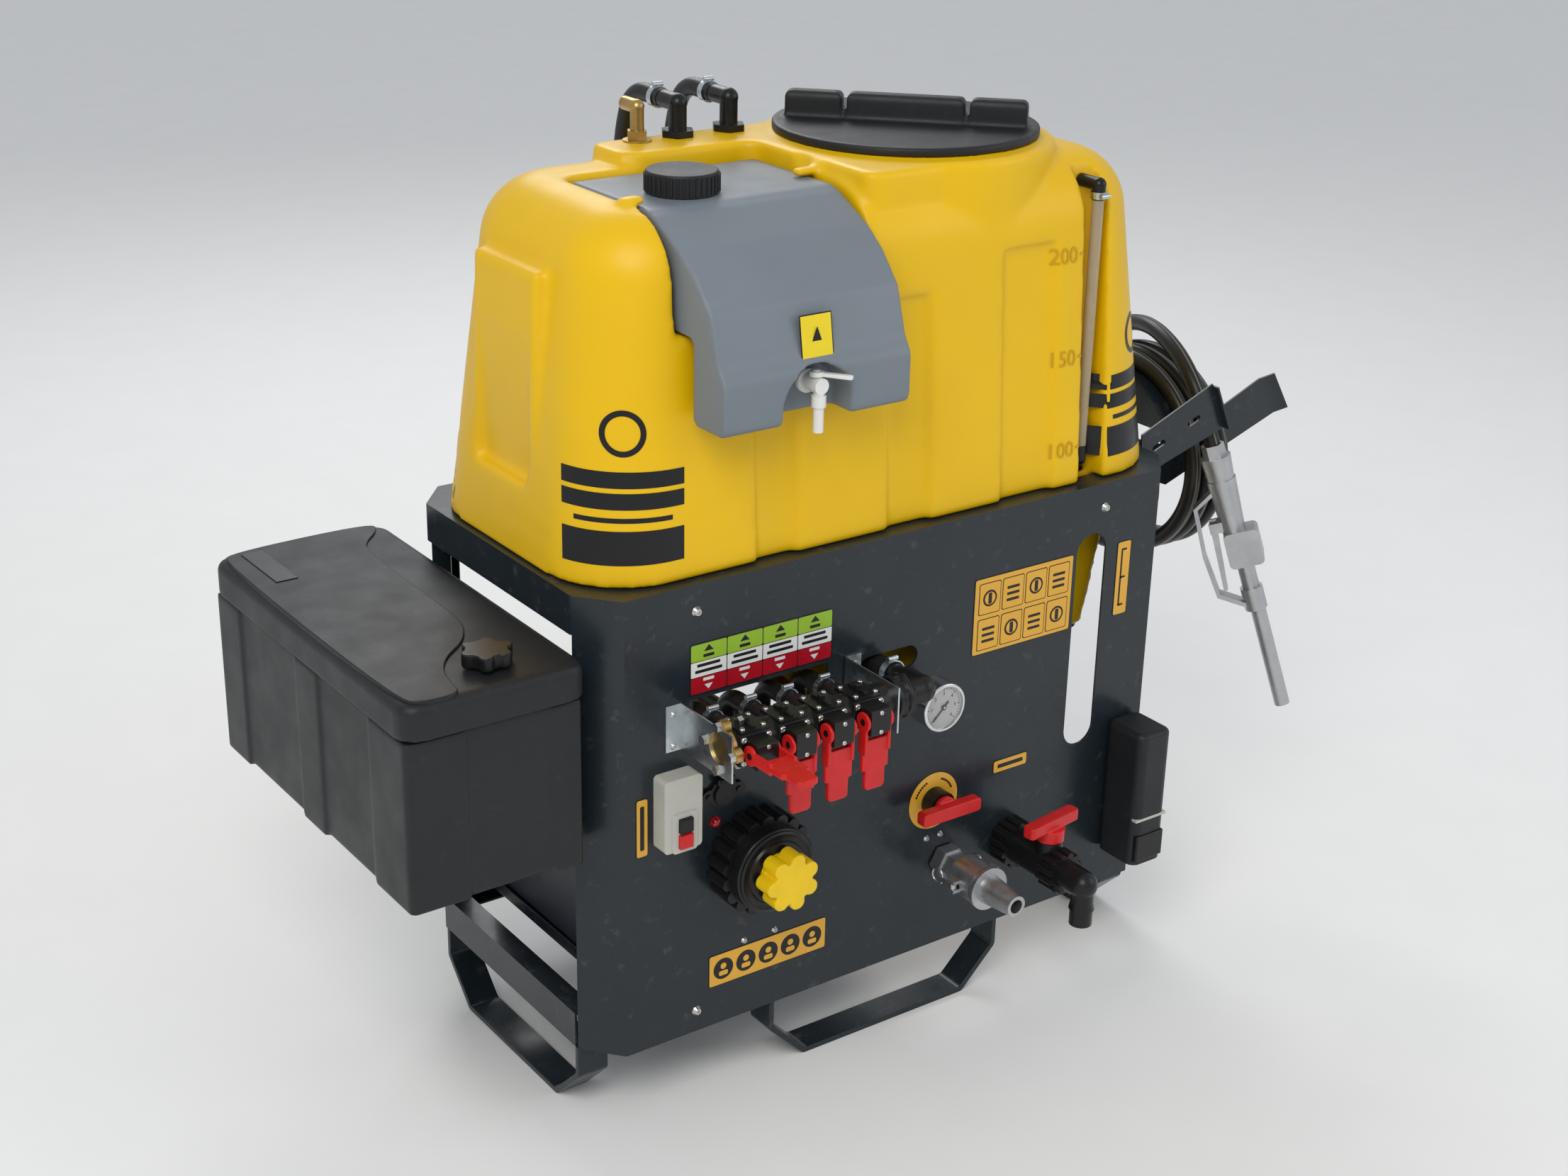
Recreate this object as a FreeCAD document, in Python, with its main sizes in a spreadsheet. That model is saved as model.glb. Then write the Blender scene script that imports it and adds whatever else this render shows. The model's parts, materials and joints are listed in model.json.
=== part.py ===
"""Pre-mixing and filling station for crop-spraying drones.

A 200 litre tank with a 50 litre sump stands on a folded steel frame. The front panel carries the
valves, gauge, filter, switch and outlets. Lengths are millimetres. The piece positions are written
from the datum, which is the deck's top surface at the front panel's left bend: +X runs to the right
along the panel, +Y to the back and +Z up. Each node is then moved so that the model's origin lies
on the ground under the middle of the machine.
"""
import FreeCAD, Part
import math
import os
import re
import Sketcher

doc = FreeCAD.newDocument("premix_station")
sheet = doc.addObject("Spreadsheet::Sheet", "dims")
nodes = {}

DIMENSIONS = {
    # datum to the origin on the ground
    "shift_x": -503, "shift_y": -169, "shift_z": 742,
    # frame
    "panel_wide": 878, "panel_tall": 638, "plate": 3, "chamfer_x": 43, "chamfer_y": 50,
    "deck_deep": 472, "skirt": 52, "deck_gap": 0.1, "rail_tall": 50, "rail_wide": 30,
    "leg_wide": 50, "leg_deep": 25, "loop_wide": 45, "loop_thick": 8, "loop_bend": 59,
    "loop_drop": 45, "ground": -742, "tray_low": -584, "tray_x": 22, "tray_long": 500,
    "tray_y": 60, "tray_deep": 350, "tray_lip": 18, "slot_x": 757, "slot_half": 27,
    "slot_top": -71, "slot_low": -393, "window_x": 99, "window_long": 208, "window_top": -154,
    "window_tall": 52, "bolt_r": 3.9, 
    # tank
    "tank_x": -35, "tank_y": 15, "tank_long": 950, "tank_deep": 440, "tank_tall": 440,
    "tank_brow": 84, "tank_wall": 6, "ridge_top": 457,
    "collar_top": 458, "collar_r": 198, "neck_x": 589, "neck_y": 239, "neck_r": 172,
    "neck_bore": 150, "neck_tall": 464, "lid_r": 177.5, "lid_low": 466, "lid_top": 472,
    "lid_skirt": 459.6, "sump_low": -240, "recess_x": 98, "recess_long": 287,
    "recess_deep": 300, "recess_low": 300, "groove_deep": 9, "sight_x": 762, "sight_y": 44,
    "sight_r": 8, "sight_low": 45, "sight_top": 385,
    # hand-wash tank
    "wash_x": 104, "wash_long": 275, "wash_front": -55, "wash_back": 291, "wash_low": 199,
    "wash_top": 437, "wash_shelf": 303, "wash_brow": 118, "wash_wall": 4, "cap_x": 190,
    "cap_y": 168, "cap_r": 45, "cap_tall": 28, "tap_x": 253, "tap_z": 236, 
    # toolbox
    "box_x": -295, "box_wide": 245, "box_y": -5, "box_deep": 550, "lid_height": 46,
    "box_lid_top": -64, "box_low": -336, "box_inset": 9, "box_wall": 4,
    # manifold and gauge
    "mani_y": -86, "mani_z": -179, "mani_x": 92, "mani_long": 246, "mani_r": 24,
    "valve_x": 118, "valve_pitch": 57, "valve_wide": 44, "lever_y": -136, "lever_z": -178,
    "lever_long": 96, "pin_r": 2.5, "run_gap": 0.05, "elbow_x": 392, "gauge_x": 448,
    "gauge_z": -228, "gauge_r": 34, "gauge_front": -70, "gauge_back": -38,
    # panel fittings
    "switch_x": 41, "switch_wide": 56, "switch_low": -343, "switch_tall": 101,
    "switch_deep": 26, "button_x": 70, "button_on": -306, "button_off": -328,
    "button_half": 9.5, "socket_x": 144, "socket_z": -294, "lamp_x": 133,
    "lamp_z": -333, "filter_x": 190, "filter_z": -396, "filter_r": 70, "knob_r": 40,
    "selector_x": 494, "selector_z": -408, "cam_x": 517, "cam_z": -506, "drain_x": 635,
    "drain_z": -508, "soap_x": 812, "soap_wide": 60, "soap_deep": 76, "soap_low": -576,
    "soap_tall": 208,
    # hose hanger, delivery hose and nozzle
    "arm_y": 170, "near_y": 84,
    "hose_r": 12.5, "coil_x": 1104, "coil_y": 280, "coil_z": -88, "coil_r": 150, "coil_wide": 110,
    "outlet_y": 192,
    # machinery on the tray
    "battery_x": 28, "battery_y": 163, "battery_long": 175, "battery_deep": 242,
    "battery_tall": 175, "pump_x": 395, "pump_y": 250,
}
ALIAS = re.compile(r"\b(" + "|".join(sorted(DIMENSIONS, key=len, reverse=True)) + r")\b")
AXIS_TURN = {
    "z": FreeCAD.Rotation(),
    "x": FreeCAD.Rotation(FreeCAD.Vector(0, 1, 0), 90),
    "y": FreeCAD.Rotation(FreeCAD.Vector(1, 0, 0), -90),
    "-y": FreeCAD.Rotation(FreeCAD.Vector(1, 0, 0), 90),
    "-z": FreeCAD.Rotation(FreeCAD.Vector(1, 0, 0), 180),
    "-x": FreeCAD.Rotation(FreeCAD.Vector(0, 1, 0), -90),
}


def fill_sheet():
    """Write every driving dimension into the spreadsheet, one row each."""
    for row, (alias, number) in enumerate(DIMENSIONS.items(), start=1):
        sheet.set("A%d" % row, alias)
        sheet.set("B%d" % row, str(number))
        sheet.setAlias("B%d" % row, alias)
    doc.recompute()


def bound(text):
    """Turn 'panel_wide - 3' into an expression on the spreadsheet's cells."""
    return ALIAS.sub(r"dims.\1", str(text))


def value(text):
    """The number that an expression gives now."""
    return float(sheet.evalExpression(bound(text)))


def bind(item, prop, text):
    item.setExpression(prop, bound(text))


def place(item, at=(0, 0, 0), turn=None):
    """Put an object at a point given by expressions, turned by a rotation."""
    if turn is not None:
        item.Placement = FreeCAD.Placement(FreeCAD.Vector(), turn)
    for axis, text in zip("xyz", at):
        bind(item, ".Placement.Base." + axis, text)
    return item


def box(size, at):
    """Block from its low corner."""
    item = doc.addObject("Part::Box", "block")
    for prop, text in zip(("Length", "Width", "Height"), size):
        bind(item, prop, text)
    return place(item, at)


def rod(radius, length, at, axis="z"):
    """Cylinder that starts at a point and runs along an axis."""
    item = doc.addObject("Part::Cylinder", "rod")
    bind(item, "Radius", radius)
    bind(item, "Height", length)
    return place(item, at, AXIS_TURN[axis])


def cone(radius, end_radius, length, at, axis="z"):
    item = doc.addObject("Part::Cone", "cone")
    bind(item, "Radius1", radius)
    bind(item, "Radius2", end_radius)
    bind(item, "Height", length)
    return place(item, at, AXIS_TURN[axis])


def ball(radius, at):
    item = doc.addObject("Part::Sphere", "ball")
    bind(item, "Radius", radius)
    return place(item, at)


def ring(radius, wire, at, axis="z"):
    item = doc.addObject("Part::Torus", "ring")
    bind(item, "Radius1", radius)
    bind(item, "Radius2", wire)
    return place(item, at, AXIS_TURN[axis])


def hexagon(flats, length, at, axis="z"):
    """Hexagonal bar, measured across its flats."""
    item = doc.addObject("Part::Prism", "hexagon")
    item.Polygon = 6
    bind(item, "Circumradius", "(%s) / sqrt(3)" % flats)
    bind(item, "Height", length)
    return place(item, at, AXIS_TURN[axis])


def wedge(low, high, low_z, high_z):
    """Block that tapers from the rectangle low at low_z to the rectangle high at high_z."""
    item = doc.addObject("Part::Wedge", "taper")
    names = ("Xmin", "Xmax", "Zmax", "Zmin", "X2min", "X2max", "Z2max", "Z2min")
    for name, text in zip(names, (*low, *high)):
        bind(item, name, "-(%s)" % text if name.startswith("Z") else text)
    bind(item, "Ymin", low_z)
    bind(item, "Ymax", high_z)
    item.Placement = FreeCAD.Placement(FreeCAD.Vector(), AXIS_TURN["-y"])
    return item


def fuse(*pieces):
    item = doc.addObject("Part::MultiFuse", "joined")
    item.Shapes = list(pieces)
    item.Refine = True
    return item


def group(*pieces):
    """Separate solids that share a node."""
    item = doc.addObject("Part::Compound", "set")
    item.Links = list(pieces)
    return item


def common(*pieces):
    item = doc.addObject("Part::MultiCommon", "overlap")
    item.Shapes = list(pieces)
    return item


def cut(base, *tools):
    item = doc.addObject("Part::Cut", "trimmed")
    item.Base = base
    item.Tool = tools[0] if len(tools) == 1 else fuse(*tools)
    item.Refine = True
    return item


def rounded(base, radius, wanted):
    """Round the edges of a shape that the test function picks."""
    doc.recompute()
    chosen = [number for number, edge in enumerate(base.Shape.Edges, start=1) if wanted(edge)]
    item = doc.addObject("Part::Fillet", "rounded")
    item.Base = base
    size = value(radius)
    item.Edges = [(number, size, size) for number in chosen]
    doc.recompute()
    if item.Shape.isNull() or not item.Shape.isValid():
        raise ValueError("rounding failed on %s" % base.Name)
    return item


def along(axis):
    """Test for straight edges that run along an axis."""
    index = "xyz".index(axis)

    def test(edge):
        if edge.Curve.TypeId != "Part::GeomLine":
            return False
        direction = edge.Curve.Direction
        return abs(abs(direction[index]) - 1) < 1e-4
    return test


def at_height(level, reach=0.6, axis="z"):
    """Test for edges that lie wholly at one height."""
    low, high = axis.upper() + "Min", axis.upper() + "Max"

    def test(edge):
        limits = edge.BoundBox
        return abs(getattr(limits, low) - level) < reach and abs(getattr(limits, high) - level) < reach
    return test


def body_plane(body, role):
    return [item for item in body.Origin.OriginFeatures if item.Role == role][0]


def outline(body, plane, corners):
    """Closed polygon sketch on one of a body's own planes; each corner is held by two dimensions."""
    sketch = body.newObject("Sketcher::SketchObject", "outline")
    sketch.AttachmentSupport = [(body_plane(body, plane), "")]
    sketch.MapMode = "FlatFace"
    points = [FreeCAD.Vector(value(first), value(second), 0) for first, second in corners]
    count = len(points)
    for index in range(count):
        sketch.addGeometry(Part.LineSegment(points[index], points[(index + 1) % count]))
    for index in range(count):
        sketch.addConstraint(Sketcher.Constraint("Coincident", index, 2, (index + 1) % count, 1))
    for index, corner in enumerate(corners):
        for kind, text in zip(("DistanceX", "DistanceY"), corner):
            number = sketch.addConstraint(Sketcher.Constraint(kind, -1, 1, index, 1, value(text)))
            sketch.setExpression("Constraints[%d]" % number, bound(text))
    return sketch


def plate_body(plane, corners, thick, taper=0):
    """Pad a polygon; on XY it rises from z = 0, on XZ it grows to -Y, on YZ it grows to +X."""
    body = doc.addObject("PartDesign::Body", "body")
    pad = body.newObject("PartDesign::Pad", "pad")
    pad.Profile = outline(body, plane, corners)
    bind(pad, "Length", thick)
    if taper:
        pad.TaperAngle = taper
    body.Tip = pad
    return body


def finish(name, item):
    """Name a node and move it from the datum to the model's origin."""
    item.Label = name
    place(item, ("shift_x", "shift_y", "shift_z"))
    nodes[name] = item


# ---------------------------------------------------------------- frame

def chamfered_plan(inset_front, inset_side):
    """The deck's plan: a rectangle with four cut corners."""
    return [
        ("-chamfer_x + %s" % inset_side, "chamfer_y + 1.6 * %s" % inset_front),
        ("0.45 * %s" % inset_front, inset_front),
        ("panel_wide - 0.45 * %s" % inset_front, inset_front),
        ("panel_wide + chamfer_x - %s" % inset_side, "chamfer_y + 1.6 * %s" % inset_front),
        ("panel_wide + chamfer_x - %s" % inset_side, "deck_deep - chamfer_y - 0.5 * %s" % inset_side),
        ("panel_wide - 0.4 * %s" % inset_side, "deck_deep - %s" % inset_side),
        ("0.4 * %s" % inset_side, "deck_deep - %s" % inset_side),
        ("-chamfer_x + %s" % inset_side, "deck_deep - chamfer_y - 0.5 * %s" % inset_side),
    ]


def make_deck():
    """Folded tray that carries the tank, with a turned-down skirt and an opening for the sump."""
    top = plate_body("XY_Plane", chamfered_plan("(plate + deck_gap)", "0"), "skirt")
    place(top, (0, 0, "-skirt"))
    hollow = plate_body("XY_Plane", chamfered_plan("(2 * plate + deck_gap)", "plate"), "skirt")
    place(hollow, (0, 0, "-skirt - plate"))
    opening = box((842, 392, 20), (34, 39, -15))
    opening = rounded(opening, 40, along("z"))
    bolts = [rod(3.2, 30, (x, y, -15)) for x in (-20, 898) for y in (100, 372)]
    panel_bolts = [rod("bolt_r", 30, (x, -10, -36), "y") for x in (104, 777)]
    finish("deck", cut(top, hollow, opening, *bolts, *panel_bolts))


def leg(corner, turn):
    """Folded channel that stands in one cut corner, open to the inside."""
    outer = box(("leg_wide", "leg_deep", "panel_tall - skirt - deck_gap"), ("-leg_wide / 2", 0, 0))
    inner = box(("leg_wide - 2 * plate", "leg_deep", "panel_tall"), ("-leg_wide / 2 + plate", "plate", -1))
    turned = FreeCAD.Rotation(FreeCAD.Vector(0, 0, 1), turn)
    return place(cut(outer, inner), (corner[0], corner[1], "-panel_tall"), turned)


def rail(size, at, hollow_size, hollow_at):
    """Channel with its open side facing the inside of the frame."""
    return cut(box(size, at), box(hollow_size, hollow_at))


def make_lower_frame():
    """Four legs joined near the ground by channel rails."""
    slope = math.degrees(math.atan2(value("chamfer_y"), value("chamfer_x")))
    legs = [
        leg(("-chamfer_x / 2 + 4.8", "chamfer_y / 2 + 4.1"), -slope),
        leg(("panel_wide + chamfer_x / 2 - 4.8", "chamfer_y / 2 + 4.1"), slope),
        leg(("-chamfer_x / 2 + 2.4", "deck_deep - chamfer_y / 2 - 2.1"), slope - 180),
        leg(("panel_wide + chamfer_x / 2 - 2.4", "deck_deep - chamfer_y / 2 - 2.1"), 180 - slope),
    ]
    low = "-panel_tall"
    hollow_tall = "rail_tall - 2 * plate"
    hollow_low = "-panel_tall + plate"
    side_long = "deck_deep - 2 * chamfer_y - 14"
    left = rail(("rail_wide", side_long, "rail_tall"), ("-chamfer_x", "chamfer_y + 7", low),
                ("rail_wide", side_long, hollow_tall), ("-chamfer_x + plate", "chamfer_y + 7", hollow_low))
    right_x = "panel_wide + chamfer_x - rail_wide"
    right = rail(("rail_wide", side_long, "rail_tall"), (right_x, "chamfer_y + 7", low),
                 ("rail_wide", side_long, hollow_tall), (right_x + " - plate", "chamfer_y + 7", hollow_low))
    end_long = "panel_wide - 8"
    front = rail((end_long, "rail_wide", "rail_tall"), (4, "plate + deck_gap", low),
                 (end_long, "rail_wide", hollow_tall), (4, "2 * plate + deck_gap", hollow_low))
    back_y = "deck_deep - rail_wide"
    back = rail((end_long, "rail_wide", "rail_tall"), (4, back_y, low),
                (end_long, "rail_wide", hollow_tall), (4, back_y + " - plate", hollow_low))
    cross = [box((30, "deck_deep - 56", 6), (x, 28, "tray_low - 6.1")) for x in (40, 480)]
    holes = [rod("bolt_r", 60, (x, -10, z), "y") for x, z in ((108, -607), (777, -607))]
    finish("lower_frame", cut(fuse(*legs, left, right, front, back, *cross), *holes))


def loop_outline(start, end, reach):
    """Flat bar bent to a shallow U: corners of its outer line, then of its inner line."""
    thick, bend = "loop_thick", "loop_bend"
    top, knee = "-panel_tall", "-panel_tall - loop_drop"
    lift = "0.414 * " + thick
    outer = [(start, top), (start, knee), (start + " + " + bend, reach), (end + " - " + bend, reach),
             (end, knee), (end, top)]
    inner = [("%s - %s" % (end, thick), top), ("%s - %s" % (end, thick), knee + " + " + lift),
             ("%s - %s - %s" % (end, bend, lift), "%s + %s" % (reach, thick)),
             ("%s + %s + %s" % (start, bend, lift), "%s + %s" % (reach, thick)),
             ("%s + %s" % (start, thick), knee + " + " + lift), ("%s + %s" % (start, thick), top)]
    return outer + inner


def make_foot_loops():
    """Two loops under the sides and two under the front and back: feet and fork pockets in one."""
    def bends(axis):
        return lambda edge: along(axis)(edge) and edge.BoundBox.ZMax < value("-panel_tall - 5")
    sides = []
    for edge in ("-chamfer_x", "panel_wide + chamfer_x - loop_wide"):
        loop = plate_body("YZ_Plane", loop_outline("50", "412", "ground"), "loop_wide")
        sides.append(place(loop, (edge, 0, 0)))
    finish("side_foot_loops", group(*[rounded(item, 12, bends("x")) for item in sides]))
    ends = []
    for edge in ("plate + deck_gap + loop_wide", "deck_deep"):
        loop = plate_body("XZ_Plane", loop_outline("228", "628", "ground"), "loop_wide")
        ends.append(place(loop, (0, edge, 0)))
    finish("end_foot_loops", group(*[rounded(item, 12, bends("y")) for item in ends]))


def make_tray():
    """Equipment tray for the battery and pump, with a turned-up lip on all four sides."""
    outer = box(("tray_long", "tray_deep", "tray_lip"), ("tray_x", "tray_y", "tray_low"))
    inner = box(("tray_long - 6", "tray_deep - 6", "tray_lip"), ("tray_x + 3", "tray_y + 3",
                                                                 "tray_low + plate"))
    finish("equipment_tray", cut(outer, inner))


PANEL_BOLTS = ((104, -36), (108, -607), (777, -36), (777, -607))
BRACKET_BOLTS = ((69, -165), (69, -208), (348, -165), (348, -208))
SMALL_BOLTS = ((182, -525), (231, -525), (486, -465), (510, -465))


def make_panel():
    """Front panel: one sheet whose two side flanges fold back over the cut corners."""
    plan = [
        ("-chamfer_x", "chamfer_y"), (0, 0), ("panel_wide", 0), ("panel_wide + chamfer_x", "chamfer_y"),
        ("panel_wide + chamfer_x - 2.28", "chamfer_y + 1.96"), ("panel_wide - 1.4", "plate"),
        (1.4, "plate"), ("-chamfer_x + 2.28", "chamfer_y + 1.96"),
    ]
    sheet_metal = place(plate_body("XY_Plane", plan, "panel_tall"), (0, 0, "-panel_tall"))
    slot = fuse(
        box(("2 * slot_half", 20, "slot_top - slot_low - 2 * slot_half"),
            ("slot_x - slot_half", -10, "slot_low + slot_half")),
        rod("slot_half", 20, ("slot_x", -10, "slot_top - slot_half"), "y"),
        rod("slot_half", 20, ("slot_x", -10, "slot_low + slot_half"), "y"))
    window = box(("window_long", 20, "window_tall"), ("window_x", -10, "window_top - window_tall"))
    hose_hole = fuse(box((66, 20, 31), (373, -10, -193.5)),
                     rod(15.5, 20, (373, -10, -178), "y"), rod(15.5, 20, (439, -10, -178), "y"))
    rounds = [rod(57, 20, ("filter_x", -10, "filter_z"), "y"),
              rod(21, 20, ("selector_x", -10, "selector_z"), "y"),
              rod(17, 20, ("cam_x", -10, "cam_z"), "y"),
              rod(23, 20, ("drain_x", -10, "drain_z"), "y"),
              rod(6.5, 20, ("gauge_x", -10, "gauge_z"), "y"),
              rod(15, 20, ("socket_x", -10, "socket_z"), "y"),
              rod(5, 20, ("lamp_x", -10, "lamp_z"), "y")]
    bolts = [rod("bolt_r", 20, (x, -10, z), "y") for x, z in PANEL_BOLTS]
    small = [rod(2.6, 20, (x, -10, z), "y") for x, z in BRACKET_BOLTS + SMALL_BOLTS]
    finish("front_panel", cut(sheet_metal, slot, window, hose_hole, *rounds, *bolts, *small))


def button_screw(x, y, z, scale=1.0):
    """Button-head screw in the front panel: domed head with a socket, and a plain shank."""
    head = cone(7 * scale, 4.2 * scale, 4.4 * scale, (x, y, z), "-y")
    socket = hexagon(5 * scale, 3, (x, y - 4.4 * scale - 1, z), "y")
    shank = rod(3.7 * scale, 11, (x, y - 0.01, z), "y")
    return fuse(cut(head, socket), shank)


def make_fasteners():
    """Screws, nuts and washers of the frame, panel and manifold."""
    pieces = [button_screw(x, 0, z) for x, z in PANEL_BOLTS]
    pieces += [button_screw(x, 0, z, 0.68) for x, z in SMALL_BOLTS]
    pieces += [button_screw(x, -2.5, z, 0.68) for x, z in BRACKET_BOLTS]
    finish("fasteners", group(*pieces))


def make_labels():
    """Plain colour plates that sit on the panel where the instructions are."""
    strips = [
        ("valve", 94, -148, 218, 69), ("switch", 15, -352, 18, 82), ("hazard", 548, -206, 176, 112),
        ("drain", 600, -398, 62, 20), ("level", 806, -206, 26, 112), ("protection", 126, -580, 190, 48),
    ]
    plates = []
    for _, x, z, wide, tall in strips:
        plate = box((wide, 0.8, tall), (x, -0.8, z))
        plates.append(rounded(plate, 4, along("y")))
    disc = cut(rod(42, 1, ("selector_x", -1, "selector_z"), "y"),
               rod(21, 3, ("selector_x", -2, "selector_z"), "y"))
    finish("label_plates", group(*plates, disc))


# ---------------------------------------------------------------- tank

def tank_block(inset, low_z, high_z, corner, brow, front=0):
    """The tank's drafted block between two heights, with round corners and a round brow."""
    low = ("tank_x + %s" % inset, "tank_x + tank_long - %s" % inset,
           "tank_y + %s + %s" % (inset, front), "tank_y + tank_deep - %s" % inset)
    high = ("tank_x + 52 + %s" % inset, "tank_x + tank_long - 54 - %s" % inset,
            "tank_y + 30 + %s + %s" % (inset, front), "tank_y + tank_deep - 30 - %s" % inset)
    block = wedge(low, high, low_z, high_z)
    top = value(high_z)
    block = rounded(block, corner, lambda edge: edge.BoundBox.ZLength > 300)
    return rounded(block, brow, lambda edge: edge.BoundBox.ZMin > top - 1)


def front_groove(left, right, depth, top):
    """Cutter that follows the leaning front face to a depth."""
    lean = "tank_y + %s + 30 * (%s) / tank_tall"
    return wedge((left, right, "-40", lean % (depth, "-1")), (left, right, "-40", lean % (depth, top)), -1,
                 top)


def make_tank():
    """Rotationally moulded tank, hollow, with its sump under the deck and its filler neck."""
    outer = tank_block("0", "deck_gap", "tank_tall", 112, "tank_brow")
    ridge = plate_body("XY_Plane", [(190, 318), (392, 205), (392, 57), (640, 57), (640, 392), (190, 392)],
                       110)
    place(ridge, (0, 0, "ridge_top - 110"))
    ridge = rounded(ridge, 22, along("z"))
    collar = rod("collar_r", 160, ("neck_x", "neck_y", "collar_top - 160"))
    neck = rod("neck_r", 40, ("neck_x", "neck_y", "neck_tall - 40"))
    sump = rounded(wedge((300, 830, 60, 410), (52, 868, 47, 424), "sump_low", 10), 40,
                   lambda edge: edge.BoundBox.ZLength > 200)
    lugs = [box((14, 20, 68), (84, 128, 380)), box((32, 20, 10), (84, 128, 438)),
            box((20, 20, 60), (392, 155, 388)), box((56, 20, 10), (356, 155, 438))]
    body = fuse(outer, ridge, collar, neck, sump)
    recess = box(("recess_long", "recess_deep + 20", 200), ("recess_x", -20, "recess_low"))
    recess = rounded(recess, 24, along("z"))
    sight = front_groove(741, 783, 38, "470")
    grooves = [front_groove(205, 265, "groove_deep", "299"), front_groove(410, 480, "groove_deep", "300"),
               front_groove(600, 690, "groove_deep", "340")]
    body = cut(body, recess, sight, *grooves)
    inside = tank_block("tank_wall", "tank_wall", "tank_tall - tank_wall", 100, 74, "groove_deep")
    kept = box(("recess_long + 2 * tank_wall", "recess_deep + tank_wall + 20", 200),
               ("recess_x - tank_wall", -20, "recess_low - tank_wall"))
    kept_sight = box((42 + 12, 110, 480), (741 - 6, -20, -5))
    sump_room = wedge((308, 822, 68, 402), (60, 860, 55, 416), "sump_low + tank_wall", 12)
    neck_room = rod("neck_bore", 80, ("neck_x", "neck_y", 400))
    seat = rod(165.5, 20, ("neck_x", "neck_y", 455))
    room = fuse(cut(inside, kept, kept_sight), sump_room, neck_room, seat)
    outlet = rod(14, 30, (802, 100, "sump_low - 10"))
    finish("tank", cut(fuse(body, *lugs), room, outlet))


def make_lid():
    """Screw lid with a skirt and a three-part grip across it."""
    disc = rod("lid_r", "lid_top - lid_low", ("neck_x", "neck_y", "lid_low"))
    skirt = cut(rod("lid_r", "lid_low - lid_skirt", ("neck_x", "neck_y", "lid_skirt")),
                rod("lid_r - 4", 20, ("neck_x", "neck_y", "lid_skirt - 5")))
    grips = []
    for start, long in ((-161, 76), (-78, 156), (85, 76)):
        block = box((long, 28, 32), (start, -14, 4))
        grips.append(rounded(block, 9, at_height(36)))
    grip = place(fuse(*grips, box((322, 24, 12), (-161, -12, 0))), ("neck_x", "neck_y", "lid_top - 1"),
                 FreeCAD.Rotation(FreeCAD.Vector(0, 0, 1), -45))
    finish("tank_lid", fuse(disc, skirt, grip))
    finish("lid_seal", cut(rod(171.9, 1.7, ("neck_x", "neck_y", 464.15)),
                           rod(163, 5, ("neck_x", "neck_y", 462))))


def make_basket():
    """Strainer basket that hangs in the filler neck: a wall with its flange, and a pressed-in floor."""
    wall = rod(147, 155, ("neck_x", "neck_y", 300.05))
    flange = rod(165, 2.5, ("neck_x", "neck_y", 455.05))
    bore = rod(144, 170, ("neck_x", "neck_y", 295))
    floor = rod(143.9, 3, ("neck_x", "neck_y", 300.05))
    holes = []
    for count, radius in ((6, 50), (12, 105)):
        for index in range(count):
            angle = 2 * math.pi * index / count
            holes.append(rod(17, 10, ("neck_x + %.2f" % (radius * math.cos(angle)),
                                      "neck_y + %.2f" % (radius * math.sin(angle)), 297)))
    finish("strainer_basket", group(cut(fuse(wall, flange), bore), cut(floor, *holes)))


def knee(radius, at, first, first_axis, second, second_axis):
    """Elbow: two round stubs that leave a slightly larger ball along two axes."""
    return fuse(ball(radius * 1.06, at), rod(radius, first, at, first_axis), rod(radius, second, at,
                                                                                 second_axis))


def clamp(radius, at, axis, wide=10):
    """Worm-drive hose clamp: a band and its screw housing."""
    band = rod(radius + 1.6, wide, at, axis)
    x, y, z = at
    lift = radius + 1.4
    if axis == "z":
        housing = rod(3.4, 15, ("%s - 7.5" % x, "%s - %s" % (y, lift + 2), "%s + %s" % (z, wide / 2)), "x")
    else:
        housing = rod(3.4, 15, ("%s - 7.5" % x, "%s + %s" % (y, wide / 2), "%s + %s" % (z, lift + 2)), "x")
    return cut(fuse(band, housing), rod(radius, wide + 4, tuple_shift(at, axis, -2), axis))


def tuple_shift(at, axis, step):
    """A point moved along an axis by a step."""
    moved = list(at)
    sign = -1 if axis.startswith("-") else 1
    index = "xyz".index(axis[-1])
    moved[index] = "%s + %s" % (moved[index], sign * step)
    return tuple(moved)


def pipe(points, radius, name="hose", reach=0.45):
    """Round hose along straight runs joined by tangent arcs as large as the runs allow."""
    corners = [FreeCAD.Vector(*[value(text) for text in point]) for point in points]
    edges = []
    start = corners[0]
    bends = []
    for before, corner, after in zip(corners, corners[1:], corners[2:]):
        back = before - corner
        ahead = after - corner
        half_turn = (math.pi - back.getAngle(ahead)) / 2
        step = reach * min(back.Length, ahead.Length)
        bend = step / math.tan(half_turn)
        back.normalize()
        ahead.normalize()
        first = corner + back * step
        last = corner + ahead * step
        middle = back + ahead
        middle.normalize()
        middle = corner + middle * (bend / math.cos(half_turn) - bend)
        edges.append(Part.makeLine(start, first))
        edges.append(Part.Arc(first, middle, last).toShape())
        start = last
        bends.append(bend)
    edges.append(Part.makeLine(start, corners[-1]))
    path = Part.Wire(edges)
    section = Part.Wire([Part.makeCircle(radius, corners[0], corners[1] - corners[0])])
    item = doc.addObject("Part::Feature", name)
    item.Shape = path.makePipeShell([section], True, False)
    expected = math.pi * radius ** 2 * path.Length
    print("%s: %.0f mm long, tightest bend %.0f mm, volume ratio %.4f"
          % (name, path.Length, min(bends), item.Shape.Volume / expected))
    return item


STUDS = ((-29, 0), (29, 0), (0, -29), (0, 29))
VALVES = [("valve_x + %d * valve_pitch" % index) for index in range(4)]


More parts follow.
